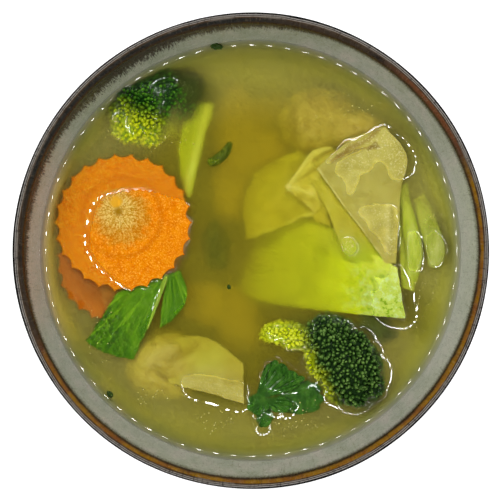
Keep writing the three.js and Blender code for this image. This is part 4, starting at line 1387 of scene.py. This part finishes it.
def haze():
    """Flat veils at twelve depths, in a shuffled order of reach, so that no two end on the same line."""
    look = Look("broth_haze", roughness=1.0, specular=0.0)
    depth = look.height() + (look.noise(24, 2, 0.5) - 0.5) * 8.0
    depth = look.span(depth, -26, 0, smooth=False)
    middle = look.ramp(depth, [(0.1, (0.12, 0.105, 0.006, 1)), (0.5, (0.24, 0.205, 0.016, 1)),
        (0.8, (0.38, 0.33, 0.04, 1)), (1.0, (0.46, 0.40, 0.07, 1))])
    edge = look.ramp(depth,
        [(0.3, (0.34, 0.31, 0.07, 1)), (0.6, (0.52, 0.48, 0.18, 1)), (0.95, (0.68, 0.63, 0.38, 1))])
    # Painted light: lighter and warmer towards the west, lifting the shade the carrot casts there
    west = look.span(look.axis()[0], -0.056, -0.068)
    edge = look.mix(west, edge, (0.80, 0.66, 0.36, 1))
    edge = look.lay(edge, (0.86, 0.83, 0.48, 1), look.axis()[0], 0.05, 0.066)
    grain = look.ramp(look.noise(0.75, 2, 0.7),
        [(0.36, (0.5, 0.5, 0.45, 1)), (0.5, (1, 1, 1, 1)), (0.66, (1.5, 1.48, 1.4, 1))])
    colour = look.lay(middle, edge, look.radius(), 41, 65)
    # Painted shade: dark green to the right of the small floret, and darker by the right-hand stalks
    shade = look.span(look.stroke((150, 78), (176, 84), (192, 92)), 12, 2, 0.0, 0.82)
    colour = look.mix(shade, colour, (0.06, 0.085, 0.014, 1))
    shade = look.span(look.stroke((412, 306), (432, 326)), 11, 2, 0.0, 0.65)
    colour = look.mix(shade, colour, (0.2, 0.19, 0.03, 1))
    look.colour(look.mix(1.0, colour, grain, "MULTIPLY"))
    look.set("Alpha", 0.085)
    parts = []
    order = (3.0, 0.9, 4.6, 1.7, 6.2, 0.4, 2.4, 5.4, 1.2, 3.8, 7.0, 0.6)
    for n, depth in enumerate((1.2, 2.1, 3.2, 4.5, 6.0, 7.8, 9.8, 12.2, 14.8, 17.8, 21.0, 25.0)):
        reach = wall_radius(LEVEL - depth) + 0.15
        rings, spokes = 22, 90
        share = np.linspace(0.02, 1, rings)
        angle = around(spokes)
        outer = reach - order[n] * (0.9 + 0.15 * np.sin(3 * angle + n) + 0.1 * np.sin(7 * angle + 3 * n))
        r, t = share[:, None] * np.maximum(outer, 1)[None, :], np.tile(angle, (rings, 1))
        p = np.stack([r * np.cos(t), r * np.sin(t), np.full(r.shape, LEVEL - depth)], 2).reshape(-1, 3)
        fade = np.clip((1 - r.reshape(-1) / reach) / 0.1, 0, 1)
        p[:, 2] += ripple(p, 13.0, 0.3 * depth**0.6, 5.7 * n) * fade
        parts.append((p, grid_faces(rings, spokes, wrap=True) + [tuple(range(spokes))]))
    obj = mesh_object("broth_haze_veils", *joined(parts), look.material)
    obj.visible_shadow = False
    return obj


piece(haze(), "broth")


# Flecks that float on the broth

fleck_look = leaf_look(
    "fleck_green", (30, 52, 14), (48, 70, 22), (70, 92, 34), (86, 104, 46), 1.0, 0.0, 2.0, 0.0)


def flecks():
    parts = []
    for spot, width, length, turn in ((px(229, 287, 0.05), 1.2, 1.6, 0.4),
            (px(110, 394.5, 0.15), 1.8, 2.6, 0.7), (px(216.5, 46.6, 1.4), 2.0, 4.2, 1.5)):
        d, f = ball_mesh(4)
        p = d * np.array([width / 2, length / 2, 0.42])
        p *= (1 + ripple(d * 10, 5.0, 0.3, length))[:, None]
        parts.append((p @ turned_by(turn) + spot, f))
    return mesh_object("herb_flecks", *joined(parts), fleck_look)


piece(flecks(), "herb")


# Fat droplets that float on the broth, near the pieces and towards the wall


def droplets():
    rng = np.random.default_rng(21)
    look = Look("fat_droplet", coat=0.15, specular=0.1)
    look.colour(look.ramp(look.noise(3, 2, 0.5), [(0.3, (196, 186, 96)), (0.7, (222, 214, 140))]))
    areas = [(420, 300, 22, 34, 46), (300, 425, 46, 12, 44), (215, 420, 30, 14, 30), (100, 370, 14, 40, 34),
        (365, 105, 34, 16, 30), (160, 140, 30, 10, 20), (430, 215, 10, 40, 20), (150, 400, 24, 14, 24),
        (300, 405, 16, 8, 14), (385, 415, 22, 12, 18), (110, 120, 16, 26, 16)]
    ball, faces = ball_mesh(2)
    parts = []
    for x, y, dx, dy, count in areas:
        for _ in range(count):
            spot = px(x + rng.normal(0, dx * 0.6), y + rng.normal(0, dy * 0.6), 0)
            if math.hypot(spot[0], spot[1]) > 69:
                continue
            size = 0.12 + 0.14 * rng.random() ** 2
            parts.append((ball * np.array([size, size, size * 0.55]) + spot, faces))
    return mesh_object("fat_droplets", *joined(parts), look.material)


piece(droplets(), "broth")


# Floor, light and camera

floor_look = Look("floor_white", roughness=0.9, specular=0.1)
floor_look.colour(floor_look.ramp(floor_look.noise(60, 2, 0.5),
    [(0.3, (0.9, 0.9, 0.9, 1)), (0.7, (0.93, 0.93, 0.93, 1))]))
floor_look.set("Emission Color", (1, 1, 1, 1))
floor_look.set("Emission Strength", 0.5)
FLOOR_REACH = 3000
corners = [(x * FLOOR_REACH, y * FLOOR_REACH, -0.02) for x, y in ((-1, -1), (1, -1), (1, 1), (-1, 1))]
floor = mesh_object("studio_floor", corners, [(0, 1, 2, 3)], floor_look.material, False)

world = bpy.data.worlds.new("studio_air")
bpy.context.scene.world = world
world.use_nodes = True
background = world.node_tree.nodes["Background"]
background.inputs["Strength"].default_value = 1.0
direction = world.node_tree.nodes.new("ShaderNodeTexCoord")
split = world.node_tree.nodes.new("ShaderNodeSeparateXYZ")
fall = world.node_tree.nodes.new("ShaderNodeValToRGB")
world.node_tree.links.new(direction.outputs["Generated"], split.inputs[0])
world.node_tree.links.new(split.outputs[2], fall.inputs["Fac"])
world.node_tree.links.new(fall.outputs["Color"], background.inputs["Color"])
for element, position, grey in zip(fall.color_ramp.elements, (0.35, 0.75), (0.4, 0.03)):
    element.position = position
    element.color = (grey, grey, grey, 1)


def lamp(name, energy, place, size, glossy=True, diffuse=True):
    """A lamp at a place in millimetres, turned to the middle of the broth."""
    data = bpy.data.lights.new(name, "AREA")
    data.energy = energy
    data.shape = "RECTANGLE"
    data.size, data.size_y = size[0] * MM, size[1] * MM
    obj = bpy.data.objects.new(name, data)
    bpy.context.scene.collection.objects.link(obj)
    obj.location = Vector(place) * MM
    obj.rotation_euler = (Vector((0, 0, LEVEL)) - Vector(place)).to_track_quat("-Z", "Y").to_euler()
    obj.visible_glossy = glossy
    obj.visible_diffuse = diffuse


# Soft lamps light the food, two of them more. The ring of small ones shows only as dotted reflections
SOFT_LAMPS, SOFT_REACH, SOFT_SIZE = 6, 900, 500
for n in range(SOFT_LAMPS):
    angle = 2 * math.pi * n / SOFT_LAMPS + 0.4
    place = (SOFT_REACH * math.cos(angle), SOFT_REACH * math.sin(angle), SOFT_REACH)
    lamp(f"soft_{n}", 4.6 if n in (1, 2) else 3.3, place, (SOFT_SIZE, SOFT_SIZE), glossy=False)
RING_LAMPS, RING_REACH, RING_ABOVE = 72, 150, 480
for n in range(RING_LAMPS):
    angle = 2 * math.pi * n / RING_LAMPS
    place = (RING_REACH * math.cos(angle), RING_REACH * math.sin(angle), RING_ABOVE)
    lamp(f"ring_{n}", 0.0037, place, (3.8, 14.0), diffuse=False)

SENSOR = 36.0
camera_data = bpy.data.cameras.new("camera")
camera_data.sensor_width = SENSOR
camera_data.lens = SENSOR * CAMERA_ABOVE_RIM / FRAME_AT_RIM
camera_data.clip_start = 0.01
camera_data.clip_end = 20.0
camera = bpy.data.objects.new("camera", camera_data)
bpy.context.scene.collection.objects.link(camera)
camera.location = Vector((-0.4, 0.27, HEIGHT + CAMERA_ABOVE_RIM)) * MM
bpy.context.scene.camera = camera

scene = bpy.context.scene
scene.view_settings.view_transform = "Standard"
scene.view_settings.look = "None"
scene.cycles.transmission_bounces = 12
scene.cycles.transparent_max_bounces = 16
scene.cycles.max_bounces = 12
scene.cycles.caustics_reflective = False
scene.cycles.caustics_refractive = False
